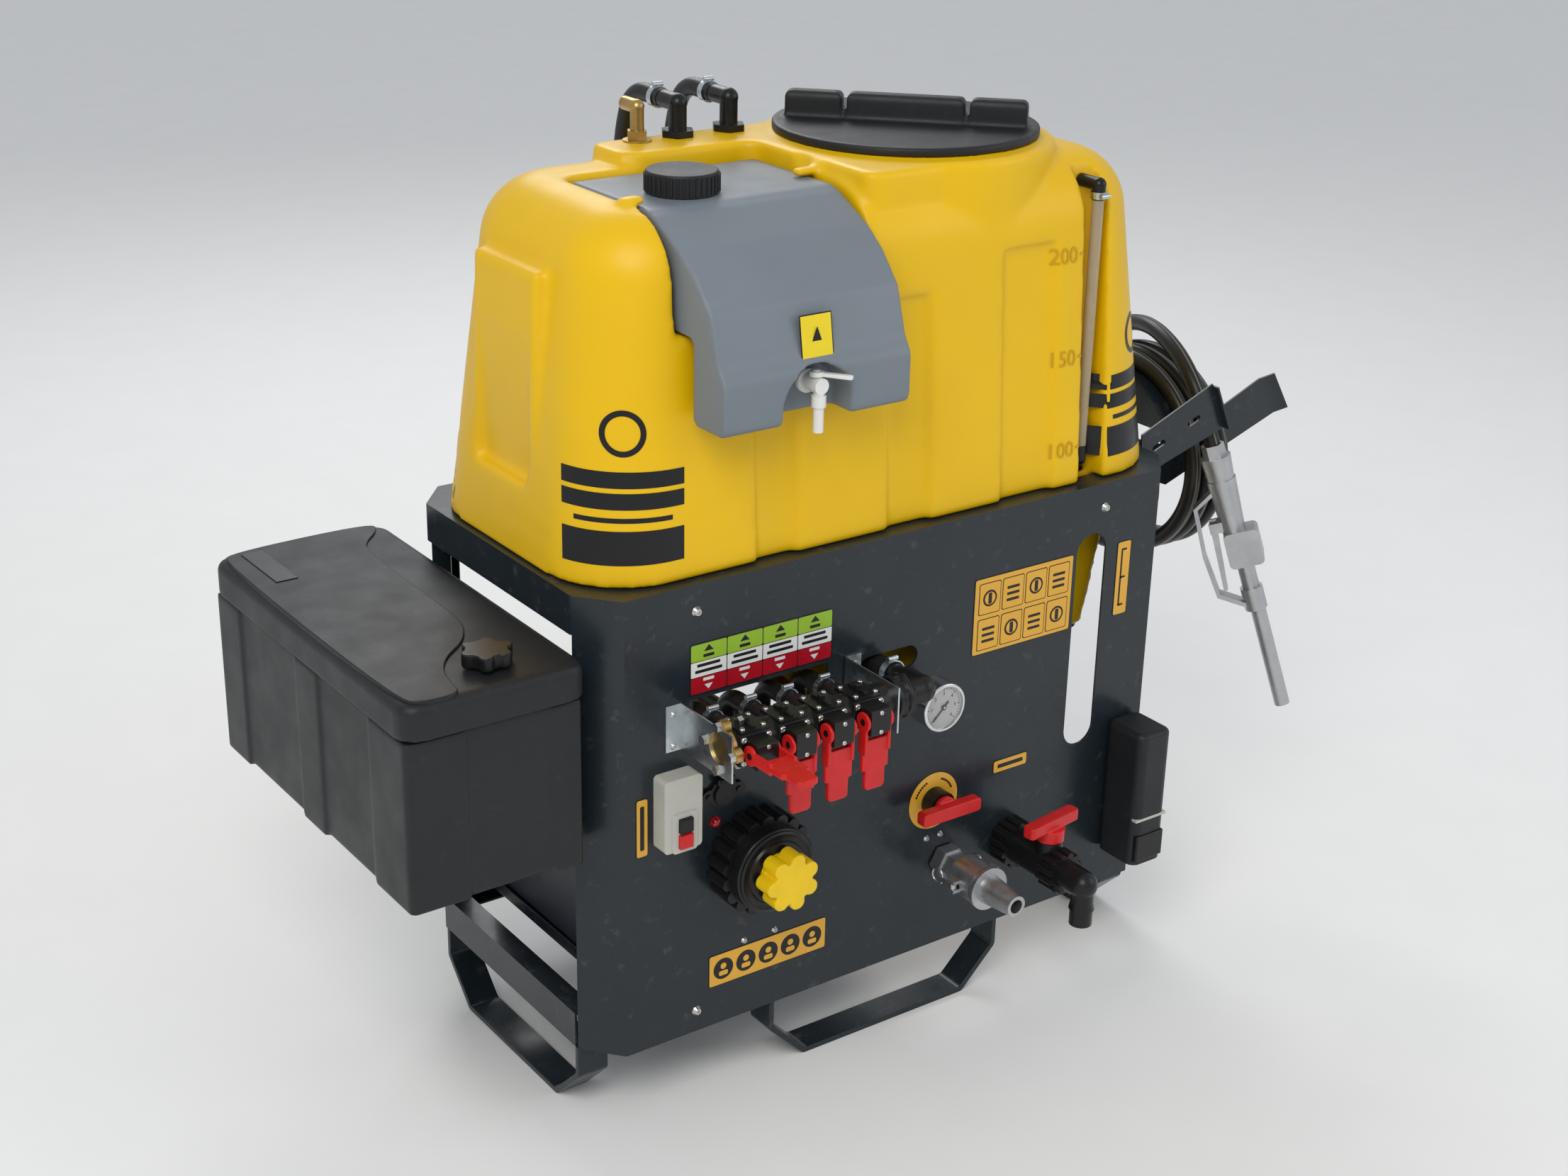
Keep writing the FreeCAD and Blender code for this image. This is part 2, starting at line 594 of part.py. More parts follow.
def make_top_fittings():
    """Elbows on the ridge and on the sight tube, the sump outlet, and the delivery outlet."""
    pieces = []
    for x in (312, 392):
        pieces.append(fuse(hexagon(40, 9, (x, 366, "ridge_top + 0.1")), knee(12, (x, 366, 500), 35, "-z",
                                                                             34, "y")))
    top = ("sight_x", "sight_y", "sight_top + 20")
    pieces.append(knee(9, top, 19.9, "-z", "tank_y + 38 + 30 * 396 / 440 - sight_y - 0.2", "y"))
    low = ("sight_x", "sight_y", "sight_low - 20")
    pieces.append(knee(9, low, 19.9, "z", 10.2, "y"))
    pieces.append(fuse(rod(22, 12, (802, 100, "sump_low - 12.1")), rod(13.5, 60, (802, 100,
                                                                                  "sump_low - 60.1"))))
    outlet = fuse(rod(18, 8, ("panel_wide + chamfer_x + 0.1", "outlet_y", -27), "x"),
                  rod(13, 16, ("panel_wide + chamfer_x + 0.1", "outlet_y", -27), "x"))
    finish("hose_elbows", group(*pieces, outlet))
    wall = rod("sight_r", "sight_top - sight_low", ("sight_x", "sight_y", "sight_low"))
    bore = rod("sight_r - 2", "sight_top - sight_low + 4", ("sight_x", "sight_y", "sight_low - 2"))
    finish("sight_tube", cut(wall, bore))


def make_brass():
    """Brass pieces: the breather on the tank, and the end flange of the manifold with its studs."""
    breather = fuse(rod(19, 2, (250, 366, "ridge_top + 0.1")), hexagon(24, 12, (250, 366, "ridge_top + 2")),
                    rod(9, 30, (250, 366, "ridge_top + 12")), knee(9, (250, 366, "ridge_top + 44"), 14,
                                                                   "-z", 30, "y"))
    end_x = "mani_x - 10"
    flange = fuse(rod(25, 9.9, (end_x, "mani_y", "mani_z"), "x"),
                  rounded(box((9.9, 72, 20), (end_x, "mani_y - 36", "mani_z - 10")), 9, along("x")),
                  rounded(box((9.9, 20, 72), (end_x, "mani_y - 10", "mani_z - 36")), 9, along("x")))
    studs = [rod(4.2, 18, ("mani_x - 14.5", "mani_y + %d" % y, "mani_z + %d" % z), "x")
             for y, z in STUDS]
    finish("brass_fittings", group(breather, fuse(flange, *studs)))


def make_clamps():
    """Hose clamps of the tank fittings and of the manifold's outlets."""
    bands = [clamp(13, (x, 410, 500), "y") for x in (312, 392)]
    bands.append(clamp(9.1, ("sight_x", "sight_y", "sight_top + 2"), "z", 9))
    bands += [clamp(13, (x, -20, "mani_z"), "y", 9) for x in VALVES]
    bands.append(clamp(16, ("elbow_x", -30, "mani_z"), "y", 10))
    finish("hose_clamps", group(*bands))


def make_hoses():
    """Fixed hoses: valve outlets to the header under the sump, and the lines behind the tank."""
    header = rod(19, 360, (90, 334, -306), "x")
    lines = [header]
    for x in VALVES:
        hose = pipe([(x, -22, "mani_z"), (x, 41, "mani_z"), (x, 41, -296), (x, 320, -306)], 12, "valve_hose")
        lines.append(cut(hose, header))
    return_line = pipe([(312, 401, 500), (312, 476, 502), (312, 503, 430), (312, 498, -180), (312, 470, -300),
                        (312, 351, -309)], 12.5, "return_line")
    lines.append(cut(return_line, header))
    lines.append(pipe([(392, 401, 500), (392, 476, 502), (392, 503, 430), (392, 498, -330), (392, 440, -452),
                       (392, "pump_y + 64", -471)], 12.5, "agitation_line"))
    lines.append(pipe([("elbow_x", -31, "mani_z"), ("elbow_x", 38, "mani_z"), ("elbow_x", 44, -300),
                       ("elbow_x", 120, -471), ("elbow_x", "pump_y - 61.4", -471)], 14, "feed_line"))
    finish("return_hoses", group(*lines))


# ---------------------------------------------------------------- hand-wash tank

WASH_PROFILE = [
    ("wash_front", "wash_low"), ("wash_front", 264), (-43, 280), (-24, 341), (8, 377), (40, 402),
    ("wash_brow - 22", 430), ("wash_brow", "wash_top"), ("wash_back", "wash_top"),
    ("wash_back", "wash_shelf"), (13, "wash_shelf"), (13, "wash_low"),
]
WASH_ROOM = [
    ("wash_front + wash_wall", "wash_low + wash_wall"), ("wash_front + wash_wall", 263),
    (-39, 279), (-20.5, 339), (10, 373), (42, 398), ("wash_brow - 21", "426"),
    ("wash_brow + 1", "wash_top - wash_wall"), ("wash_back - wash_wall", "wash_top - wash_wall"),
    ("wash_back - wash_wall", "wash_shelf + wash_wall"), ("13 - wash_wall", "wash_shelf + wash_wall"),
    ("13 - wash_wall", "wash_low + wash_wall"),
]


def tap_notch(grow):
    """Arched space for the tap, open to the front and below, or the same space grown by a wall."""
    return fuse(box(("100 + 2 * %s" % grow, "52 + %s" % grow, 22), ("190 - %s" % grow, -60, 197)),
                rod("50 + %s" % grow, "52 + %s" % grow, (240, -60, 219), "y"))


def make_wash_tank():
    """Hand-wash tank in the recess at the front, with a filler neck and a notch for its tap."""
    shell = place(plate_body("YZ_Plane", WASH_PROFILE, "wash_long"), ("wash_x", 0, 0))
    shell = rounded(shell, 9, along("x"))
    room = place(plate_body("YZ_Plane", WASH_ROOM, "wash_long - 2 * wash_wall"), ("wash_x + wash_wall", 0, 0))
    room = cut(room, tap_notch("wash_wall"))
    neck = rod(38, 24, ("cap_x", "cap_y", "wash_top - 4"))
    bore = rod(34, 60, ("cap_x", "cap_y", "wash_top - 20"))
    spigot = rod(8.1, 30, ("tap_x", -20, "tap_z"), "y")
    finish("handwash_tank", cut(fuse(shell, neck), tap_notch("0"), room, bore, spigot))
    cap = cut(rod("cap_r", "cap_tall", ("cap_x", "cap_y", "wash_top + 0.2")),
              rod(38.1, 21, ("cap_x", "cap_y", "wash_top")))
    finish("handwash_cap", rounded(cap, 3, at_height(value("wash_top + 0.2 + cap_tall"))))


def make_tap():
    """Push-in tap of the hand-wash tank with its quarter-turn lever."""
    body = fuse(rod(15, 5, ("tap_x", -8.1, "tap_z"), "-y"), rod(10, 34, ("tap_x", -8.1, "tap_z"), "-y"),
                rod(8, 14, ("tap_x", -9, "tap_z"), "y"), rod(6.5, 58, ("tap_x", -36, "tap_z - 58")),
                rod(9, 14, ("tap_x", -36, "tap_z - 26")), rod(5, 10, ("tap_x", -30, "tap_z + 9")))
    bore = fuse(rod(4.5, 66, ("tap_x", -36, "tap_z - 60")), rod(4.5, 44, ("tap_x", -38, "tap_z"), "y"))
    finish("tap_body", cut(body, bore))
    lever = fuse(rod(9, 7, (0, 0, 0)), rounded(box((42, 9, 5), (4, -4.5, 1)), 4, along("z")))
    lever = cut(lever, rod(5.05, 20, (0, 0, -5)))
    lever = place(lever, ("tap_x", -30, "tap_z + 10.3"), FreeCAD.Rotation(FreeCAD.Vector(0, 0, 1), -55))
    finish("tap_lever", group(lever))


# ---------------------------------------------------------------- toolbox

def make_toolbox():
    """Storage box hung on the left side: body, hinged lid, its knob and the hinge pin."""
    wide, deep = "box_wide - 7", "box_deep - 13"
    left, front = "box_x + 5", "box_y + 8"
    tall = "-110 - box_low"
    body = rounded(box((wide, deep, tall), (left, front, "box_low")), 22, along("z"))
    body = rounded(body, 10, at_height(value("box_low")))
    room = box((wide + " - 2 * box_wall", deep + " - 2 * box_wall", tall),
               (left + " + box_wall", front + " + box_wall", "box_low + box_wall"))
    room = rounded(room, 18, along("z"))
    hooks = [box((12, 50, 30), (-54, y, -150)) for y in (90, 370)]
    hooks = [rounded(hook, 3, along("y")) for hook in hooks]
    pivot_y, pivot_z = "box_y + box_deep + 6.2", -108
    body_knuckles = []
    lid_knuckles = []
    for x in (-265, -135):
        middle = x + 25.2
        body_knuckles.append(rod(6, 24.8, (middle, pivot_y, pivot_z), "x"))
        body_knuckles.append(box((24.8, 16, 3.9), (middle, "box_y + box_deep - 9", -114)))
        for start in (x, x + 50.4):
            lid_knuckles.append(rod(6, 24.8, (start, pivot_y, pivot_z), "x"))
            lid_knuckles.append(box((24.8, 8, 5), (start, "box_y + box_deep - 2", pivot_z + 0.5)))
    finish("toolbox_body", cut(fuse(cut(body, room), *hooks, *body_knuckles), hinge_bore(pivot_y, pivot_z)))
    shell = rounded(box(("box_wide", "box_deep", "lid_height - 0.1"), ("box_x", "box_y", "-109.9")), 26,
                    along("z"))
    shell = rounded(shell, 12, at_height(value("-109.9 + lid_height - 0.1")))
    cavity = rounded(box(("box_wide - 2 * box_wall", "box_deep - 2 * box_wall", "lid_height"),
                         ("box_x + box_wall", "box_y + box_wall", "-114")), 22, along("z"))
    shaft = rod("pin_r + run_gap", 20, (-155, 55, -75))
    finish("toolbox_lid", cut(fuse(cut(shell, cavity), *lid_knuckles), hinge_bore(pivot_y, pivot_z), shaft))
    finish("toolbox_hinge_pin", group(rod("pin_r", 210, (-266, pivot_y, pivot_z), "x")))
    lobes = [rod(9, 18, (-155 + 24 * math.cos(k * math.pi / 3), 55 + 24 * math.sin(k * math.pi / 3), -60))
             for k in range(6)]
    knob = fuse(rod(26, 18, (-155, 55, -60)), *lobes, rod(14, 3.8, (-155, 55, -63.8)))
    knob = fuse(knob, rod("pin_r", 14, (-155, 55, -75)), rod(8, 4, (-155, 55, -72.2)))
    finish("toolbox_knob", knob)


def hinge_bore(y, z):
    """Running fit for the toolbox's hinge pin."""
    return rod("pin_r + run_gap", 260, (-280, y, z), "x")


# ---------------------------------------------------------------- manifold and gauge

def make_manifold():
    """Valve manifold: main tube, four valve blocks with their pivots, outlets and the inlet elbow."""
    pieces = [rod("mani_r", "mani_long", ("mani_x", "mani_y", "mani_z"), "x")]
    for x in VALVES:
        pieces.append(rounded(box((30, 50, 34), ("%s - 15" % x, "lever_y", "mani_z - 17")), 3, along("x")))
        pieces.append(rod(15, 40, (x, "mani_y + 8", "mani_z"), "y"))
        pieces.append(rod(12, 26, (x, "mani_y + 36", "mani_z"), "y"))
        pieces.append(rod(4, 41, ("%s - 20.5" % x, "lever_y + 12", "mani_z"), "x"))
        pieces.append(box((40, 44, 5), ("%s - 20" % x, "mani_y - 22", "mani_z + 20")))
    end = "mani_x + mani_long"
    pieces.append(hexagon(50, 26, (end, "mani_y", "mani_z"), "x"))
    pieces.append(rod(18, 34, (end, "mani_y", "mani_z"), "x"))
    pieces.append(knee(18, ("elbow_x", "mani_y", "mani_z"), 34, "-x", 30, "y"))
    pieces.append(rod(14, 24.8, ("elbow_x", "mani_y + 30", "mani_z"), "y"))
    finish("manifold_body", fuse(*pieces))


def make_brackets():
    """Two zinc angle brackets that hold the manifold off the panel."""
    left = fuse(box((22.5, 2.4, 63), (58, -2.5, -215)), box((2.4, 112, 63), ("mani_x - 13.5 + 1", -114.4,
                                                                             -215)),
                box((8, 2.4, 63), (74, -2.5, -215)))
    left = cut(left, rod(21, 10, ("mani_x - 16", "mani_y", "mani_z"), "x"),
               *[rod(4.3, 10, ("mani_x - 16", "mani_y + %d" % y, "mani_z + %d" % z), "x")
                 for y, z in STUDS],
               *[rod(2.6, 9, (69, -5, z), "y") for z in (-165, -208)])
    right = fuse(box((24, 2.4, 63), (334.4, -2.5, -215)), box((2.4, 112, 63), (332, -114.4, -215)))
    right = cut(right, rod("mani_r + run_gap", 10, (328, "mani_y", "mani_z"), "x"),
                *[rod(2.6, 9, (348, -5, z), "y") for z in (-165, -208)])
    finish("manifold_brackets", group(left, right))


def valve_lever(name, x, turn):
    """Lever that straddles its valve block on the pivot; at turn 0 it hangs down."""
    pieces = []
    for side in (-20.2, 15.4):
        pieces.append(rod(13, 4.8, (side, 0, 0), "x"))
        pieces.append(box((4.8, 16, 44), (side, -8, -44)))
    pieces.append(box((40.4, 7, 42), (-20.2, -3.5, -68)))
    pieces.append(rounded(box((30, 8, 40), (-15, -4, "-lever_long")), 6, along("y")))
    lever = cut(fuse(*pieces), rod("4 + run_gap", 60, (-30, 0, 0), "x"))
    place(lever, (x, "lever_y + 12", "mani_z"), FreeCAD.Rotation(FreeCAD.Vector(1, 0, 0), turn))
    finish(name, group(lever))


def make_gauge():
    """Pressure gauge on a stem from the panel, with a needle that turns on its spindle."""
    case = rod("gauge_r", "gauge_back - gauge_front", ("gauge_x", "gauge_front", "gauge_z"), "y")
    case = rounded(case, 2, at_height(value("gauge_front"), axis="y"))
    dish = rod("gauge_r - 4", 6, ("gauge_x", "gauge_front - 1", "gauge_z"), "y")
    stem = fuse(hexagon(14, 12, ("gauge_x", "gauge_back", "gauge_z"), "y"),
                rod(6.4, 60, ("gauge_x", "gauge_back", "gauge_z"), "y"))
    spindle = rod(1.4, 4, ("gauge_x", "gauge_front + 2", "gauge_z"), "y")
    finish("gauge_case", fuse(cut(case, dish), stem, spindle))
    pointer = fuse(rod(4, 1, (0, 0, 0), "y"), box((1.6, 1, 24), (-0.8, 0, 0)), box((2.4, 1, 10), (-1.2, 0,
                                                                                                  -10)))
    pointer = cut(pointer, rod(1.45, 4, (0, -1, 0), "y"))
    pointer = place(pointer, ("gauge_x", "gauge_front + 3", "gauge_z"),
                    FreeCAD.Rotation(FreeCAD.Vector(0, 1, 0), -135))
    finish("gauge_needle", group(pointer))


# ---------------------------------------------------------------- panel fittings

def make_switch():
    """Push-button switch box with its two buttons."""
    shell = box(("switch_wide", "switch_deep", "switch_tall"), ("switch_x", "-switch_deep - 0.1",
                                                                "switch_low"))
    shell = rounded(shell, 6, along("y"))
    frame = rounded(box((36, 8, 54), (52, "-switch_deep - 3", -344)), 4, along("y"))
    wells = [box((19.8, 34, 19.8), ("button_x - 9.9", -50, "%s - 9.9" % z)) for z in ("button_on",
                                                                                      "button_off")]
    wells = [common(well, box((40, 34, 90), (50, -50, -360))) for well in wells]
    finish("switch_box", cut(fuse(shell, frame), *wells))
    for name, z in (("on_button", "button_on"), ("off_button", "button_off")):
        key = box(("2 * button_half", 15, "2 * button_half"),
                  ("button_x - button_half", "-switch_deep - 8.2", "%s - button_half" % z))
        finish(name, rounded(key, 1.5, at_height(value("-switch_deep - 8.2"), axis="y")))


def make_socket():
    """Twelve volt outlet with its hinged flap, and the pilot lamp."""
    plate = fuse(rod(21, 5, ("socket_x", -5.1, "socket_z"), "y"), box((46, 5, 20), (121, -5.1,
                                                                                    "socket_z - 10")),
                 rod(10, 5, (121, -5.1, "socket_z"), "y"), rod(10, 5, (167, -5.1, "socket_z"), "y"))
    barrel = rod(14.9, 40, ("socket_x", -5.1, "socket_z"), "y")
    screws = [rod(4, 2.2, (x, -7.2, "socket_z"), "y") for x in (121, 167)]
    lugs = [box((3, 8, 7), (x, -11, "socket_z + 16.5")) for x in (131, 154)]
    pin = rod(1.5, 24, (132, -8.2, "socket_z + 20"), "x")
    bore = rod(10.5, 36, ("socket_x", -7, "socket_z"), "y")
    finish("socket_body", cut(fuse(plate, barrel, *screws, *lugs, pin), bore))
    flap = fuse(rod(15, 3, ("socket_x", -8.6, "socket_z"), "y"), box((19, 3, 12), (134.5, -8.6,
                                                                                   "socket_z + 8")),
                rod(3, 19, (134.5, -8.2, "socket_z + 20"), "x"))
    finish("socket_flap", cut(flap, rod("1.5 + run_gap", 40, (120, -8.2, "socket_z + 20"), "x")))
    lamp = fuse(rod(8, 3, ("lamp_x", -3.1, "lamp_z"), "y"), rod(4.9, 20, ("lamp_x", -3.1, "lamp_z"), "y"),
                cut(ball(6.5, ("lamp_x", -3.1, "lamp_z")), box((20, 20, 20), ("lamp_x - 10", -3,
                                                                              "lamp_z - 10"))))
    finish("indicator_lamp", lamp)


def lobed_disc(radius, lobe, count, depth, at):
    """Knob with round lobes on its rim, whose axis runs to the front."""
    x, y, z = at
    reach = radius - lobe
    lobes = []
    for index in range(count):
        angle = 2 * math.pi * (index + 0.5) / count
        lobes.append(rod(lobe, depth, ("%s + %.3f" % (x, reach * math.cos(angle)), y,
                                       "%s + %.3f" % (z, reach * math.sin(angle))), "y"))
    return fuse(rod(reach, depth, at, "y"), *lobes)


def make_filter():
    """Suction filter through the panel: bowl and cover, clamp ring, and the drain knob."""
    bowl = rod(56.8, 190, ("filter_x", -40, "filter_z"), "y")
    cover = rounded(rod(59, 18, ("filter_x", -58, "filter_z"), "y"), 3, at_height(-58, axis="y"))
    room = rod(51, 170, ("filter_x", -30, "filter_z"), "y")
    spigot = rod(8, 10, ("filter_x", -67, "filter_z"), "y")
    ports = rod(14, 40, ("filter_x", 110, "filter_z - 90"))
    finish("filter_housing", cut(fuse(bowl, cover, spigot, ports), room))
    clamp_ring = lobed_disc(70, 9, 18, 39.6, ("filter_x", -39.8, "filter_z"))
    finish("filter_ring", cut(clamp_ring, rod(56.9, 60, ("filter_x", -50, "filter_z"), "y")))
    knob = fuse(lobed_disc(40, 11, 7, 30, ("filter_x", -98, "filter_z")),
                rod(30, 14, ("filter_x", -72.2, "filter_z"), "y"))
    finish("filter_knob", cut(knob, rod(8.05, 12, ("filter_x", -68, "filter_z"), "y")))


def tee_handle(name, at, turn, half, tall, wide, hub, hub_long, axis, bore):
    """Bar handle on a round hub: the bar lies across the spindle's axis."""
    bar = rounded(box((2 * half, wide, tall), (-half, -wide / 2, hub_long)), 5, along("z"))
    body = cut(fuse(bar, rod(hub, hub_long + 2, (0, 0, 0))), rod(bore, hub_long + 4, (0, 0, -1)))
    place(body, at, AXIS_TURN[axis] * FreeCAD.Rotation(FreeCAD.Vector(0, 0, 1), turn))
    finish(name, group(body))


def make_selector():
    """Three-way selector valve: body behind the panel, hub in front and its bar handle."""
    hub = rod(20.8, 25, ("selector_x", -22, "selector_z"), "y")
    body = box((84, 70, 84), ("selector_x - 42", 3.2, "selector_z - 42"))
    ports = [rod(16, 30, ("selector_x - 70", 38, "selector_z"), "x"),
             rod(16, 30, ("selector_x + 40", 38, "selector_z"), "x"),
             rod(16, 30, ("selector_x", 38, "selector_z - 70"))]
    spindle = rod(6, 10, ("selector_x", -31, "selector_z"), "y")
    finish("selector_valve", fuse(hub, rounded(body, 8, along("y")), *ports, spindle,
                                  rod(20.8, 10, ("selector_x", 0, "selector_z"), "y")))
    tee_handle("selector_handle", ("selector_x", -22.2, "selector_z"), 0, 50, 16, 20, 17, 6, "-y", 6.05)


def make_camlock():
    """Quick coupling: adapter on the panel, removable coupler with its hose tail, and two cam arms."""
    def at(y):
        return ("cam_x", y, "cam_z")

    adapter = fuse(hexagon(44, 19.8, at(-22), "y"), hexagon(38, 20, at(-42), "y"), rod(22.9, 44, at(-85),
                                                                                       "y"),
                   rod(16.9, 60, at(-30), "y"))
    groove = cut(rod(25, 8, at(-74), "y"), rod(20, 12, at(-76), "y"))
    finish("camlock_adapter", cut(adapter, groove, rod(12, 130, at(-95), "y")))
    shell = fuse(rod(29, 40, at(-90), "y"), rod(31, 6, at(-101), "y"), rod(24, 12, at(-101), "y"),
                 cone(15, 21, 58, at(-157), "y"))
    ears = [box((16, 14, 5), ("cam_x + %d" % x, -73, "cam_z + %d" % z)) for x in (-40, 24) for z in (-9, 4)]
    pins = [rod(2.5, 18, ("cam_x + %d" % (35 * side), -66, "cam_z - 9")) for side in (-1, 1)]
    coupler = cut(fuse(shell, *ears, *pins), rod(23, 38.4, at(-85.4), "y"), rod(10, 100, at(-160), "y"))
    finish("camlock_coupler", cut(coupler, *[box((5, 12, 7.8), ("cam_x + %.1f" % x, -72, "cam_z - 3.9"))
                                             for x in (-29.5, 24.5)]))
    for name, side in (("cam_lever_left", -1), ("cam_lever_right", 1)):
        start = "cam_x + %d" % (35 * side)
        arm = fuse(rod(5, 7.4, (start, -66, "cam_z - 3.7")), box((6, 26, 7.4), ("%s - 3" % start, -66,
                                                                                "cam_z - 3.7")))
        pull = ring(11, 1.6, (start, -33, "cam_z"), "x")
        finish(name, cut(fuse(arm, pull), rod("pin_r + run_gap", 20, (start, -66, "cam_z - 10"))))


def make_drain():
    """Drain ball valve with its elbow, and the bar handle on top."""
    def at(y):
        return ("drain_x", y, "drain_z")

    nut_ring = lobed_disc(35, 5, 14, 29.9, at(-30))
    union = lobed_disc(31, 5, 12, 30, at(-125))
    elbow = fuse(rod(20, 40, at(-160), "y"), ball(20, at(-160)), rod(16, 60, ("drain_x", -160,
                                                                              "drain_z - 60")),
                 cone(18, 16, 10, ("drain_x", -160, "drain_z - 36")))
    stem = fuse(rod(19, 38, ("drain_x", -88, "drain_z")), rod(10, 16, ("drain_x", -88, "drain_z + 37")))
    tail = rod(22.8, 90, at(-30), "y")
    finish("drain_valve", cut(fuse(nut_ring, rod(25, 84, at(-110), "y"), union, elbow, stem, tail),
                              rod(11, 60, ("drain_x", -160, "drain_z - 64"))))
    tee_handle("drain_handle", ("drain_x", -88, "drain_z + 38.2"), 8, 49, 17, 20, 20, 17, "z", 10.05)


def make_soap():
    """Soap dispenser at the right edge of the panel, with its push bar."""
    shell = box(("soap_wide", "soap_deep", "soap_tall"), ("soap_x", "-soap_deep - 0.1", "soap_low"))
    shell = rounded(shell, 14, along("z"))
    shell = rounded(shell, 8, at_height(value("soap_low + soap_tall")))
    recess = box((53, 20, 42), ("soap_x + 3.5", "-soap_deep - 5", "soap_low + 6"))
    finish("soap_dispenser", cut(shell, recess))
    bar = box((52, 11, 40.6), ("soap_x + 4", "-soap_deep - 3", "soap_low + 6.7"))
    finish("soap_push_bar", rounded(bar, 3, at_height(value("-soap_deep - 3"), axis="y")))


# ---------------------------------------------------------------- hose hanger, hose and nozzle

def make_hanger():
    """Hose hanger on the right side: slotted near plate, long far arm, and the saddle for the coil."""
    edge = "panel_wide + chamfer_x + 0.1"
    near = plate_body("XZ_Plane", [(edge, 18), (1055, 72), (1089, 1), (974, -33), (edge, -52)], "plate")
    near = place(near, (0, "near_y + plate", 0))
    slots = [place(rounded(box((26, 20, 9), (-13, -10, -4.5)), 4.4, along("y")), (x, "near_y + 2", z),
                   tilted("y", -21))
             for x, z in ((956, -4), (1023, 21))]
    lip = place(group(box((3, 14, 76), (-3, -14, 0))), (1089, "near_y + plate", 1), tilted("y", -25))
    far_outline = [(edge, 0), (1065, -50), (1249, 25), (1287, -36), (1065, -112), (edge, -52)]
    far = plate_body("XZ_Plane", far_outline, "plate")
    far = place(far, (0, "arm_y + plate", 0))
    tip_turn = tilted("y", -32) * tilted("z", -38)
    tip = place(group(box((25, 3, 71), (-1, 0, 0))), (1286, "arm_y", -36), tip_turn)
    web = box(("plate", "arm_y - near_y + plate", 52), (edge, "near_y", -52))
    shelf = box((40, "arm_y - near_y + plate", "plate"), (edge, "near_y", -52))
    facets = []
    steps = 8
    for index in range(steps):
        angle = 35 + 110 * (index + 0.5) / steps
        reach = value("coil_r - hose_r - 3")
        facet = group(box((112, 34, 3), (-56, -17, -3)))
        facets.append(place(facet, ("coil_x", "coil_y - %.3f" % (reach * math.cos(math.radians(angle))),
                                    "coil_z + %.3f" % (reach * math.sin(math.radians(angle)))),
                            tilted("x", 90 - angle)))
    rib = common(box((6, 236, 60), ("coil_x - 30", "coil_y - 118", -38)),
                 rod("coil_r - hose_r - 4", 60, ("coil_x - 60", "coil_y", "coil_z"), "x"))
    brace = box((104, 4, 58), ("coil_x - 52", "arm_y + plate - 1", -64))
    finish("hose_hanger", fuse(cut(near, *slots), lip, far, tip, web, shelf, *facets, rib, brace))


def tilted(axis, angle):
    """Rotation about one of the datum's axes."""
    return FreeCAD.Rotation(FreeCAD.Vector(*[1.0 if name == axis else 0.0 for name in "xyz"]), angle)


HOSE_FEED = [("panel_wide + chamfer_x + 16.2", "outlet_y", -27), (960, 192, -27), (996, 191, -34), (1028,
                                                                                                    190, -57),
             (1050, 190, -92), (1060, 191, -138), (1062, 208, -188), (1062, 250, -228), (1062, 300, -242)]
HOSE_TAIL = [(1080, 98, -28), (1071, 107, 10), (1068, 134, 60), (1081, 194, 98), (1107, 280, 110),
             (1134, 366, 82), (1146, 422, 20), (1147, 436, -58)]


def make_hose():
    """Delivery hose: lead from the outlet, coil on the saddle, and the end that runs to the nozzle."""
    finish("hose_feed", pipe(HOSE_FEED, value("hose_r"), "hose_feed"))
    finish("hose_tail", pipe(HOSE_TAIL, value("hose_r"), "hose_tail"))
    coil = cut(rod("coil_r + hose_r + 0.5", "coil_wide", ("coil_x - coil_wide / 2", "coil_y", "coil_z"), "x"),
               rod("coil_r - hose_r", "coil_wide + 4", ("coil_x - coil_wide / 2 - 2", "coil_y", "coil_z"),
                   "x"))
    finish("hose_coil", coil)


def nozzle_frame(item, name):
    """Turn a piece from the nozzle's own axes to where it hangs, and finish it."""
    across = FreeCAD.Vector(0.670, -0.670, 0.318)
    depth = FreeCAD.Vector(0.7071, 0.7071, 0)
    axis = FreeCAD.Vector(-0.225, 0.225, 0.948)
    place(item, (1080, 98, -28), FreeCAD.Rotation(across, depth, axis, "ZXY"))
    finish(name, group(item))


def make_nozzle():
    """Filling nozzle: swivel, body with its cover block, guard, spout and the sprung trigger."""
    pieces = [hexagon(30, 22, (0, 0, -22.6)), cone(20, 23, 40, (0, 0, -60)), cone(17, 22, 90, (0, 0, -146)),
              rounded(box((52, 42, 56), (-17, -24, -194)), 8, along("y")), rod(13, 60, (4, 0, -240)),
              rod(17, 36, (4, 0, -270)), rod(11.5, 170, (6, 0, -434))]
    strip = [(-16, -70), (-50, -92), (-54, -170), (-48, -238), (-8, -264), (-8, -256), (-43, -233), (-49,
                                                                                                     -169),
             (-45, -95), (-16, -77)]
    guard = place(plate_body("XZ_Plane", strip, 22), (0, 11, 0))
    pivot = rod(3, 26, (-28, -13, -128), "y")
    ears = [box((20, 4, 16), (-34, y, -136)) for y in (-13, 9)]
    body = cut(fuse(*pieces, guard, pivot, *ears), rod(9, 120, (6, 0, -440)))
    nozzle_frame(body, "nozzle_body")
    lever_line = [(-33, -122), (-23, -122), (-24, -140), (-30, -230), (-36, -230), (-33, -140)]
    lever = place(plate_body("XZ_Plane", lever_line, 17), (0, 8.5, 0))
    lever = cut(fuse(lever, rod(6, 17, (-28, -8.5, -128), "y")), rod("3 + run_gap", 40, (-28, -20, -128),
                                                                     "y"))
    nozzle_frame(lever, "nozzle_trigger")


# ---------------------------------------------------------------- machinery on the tray

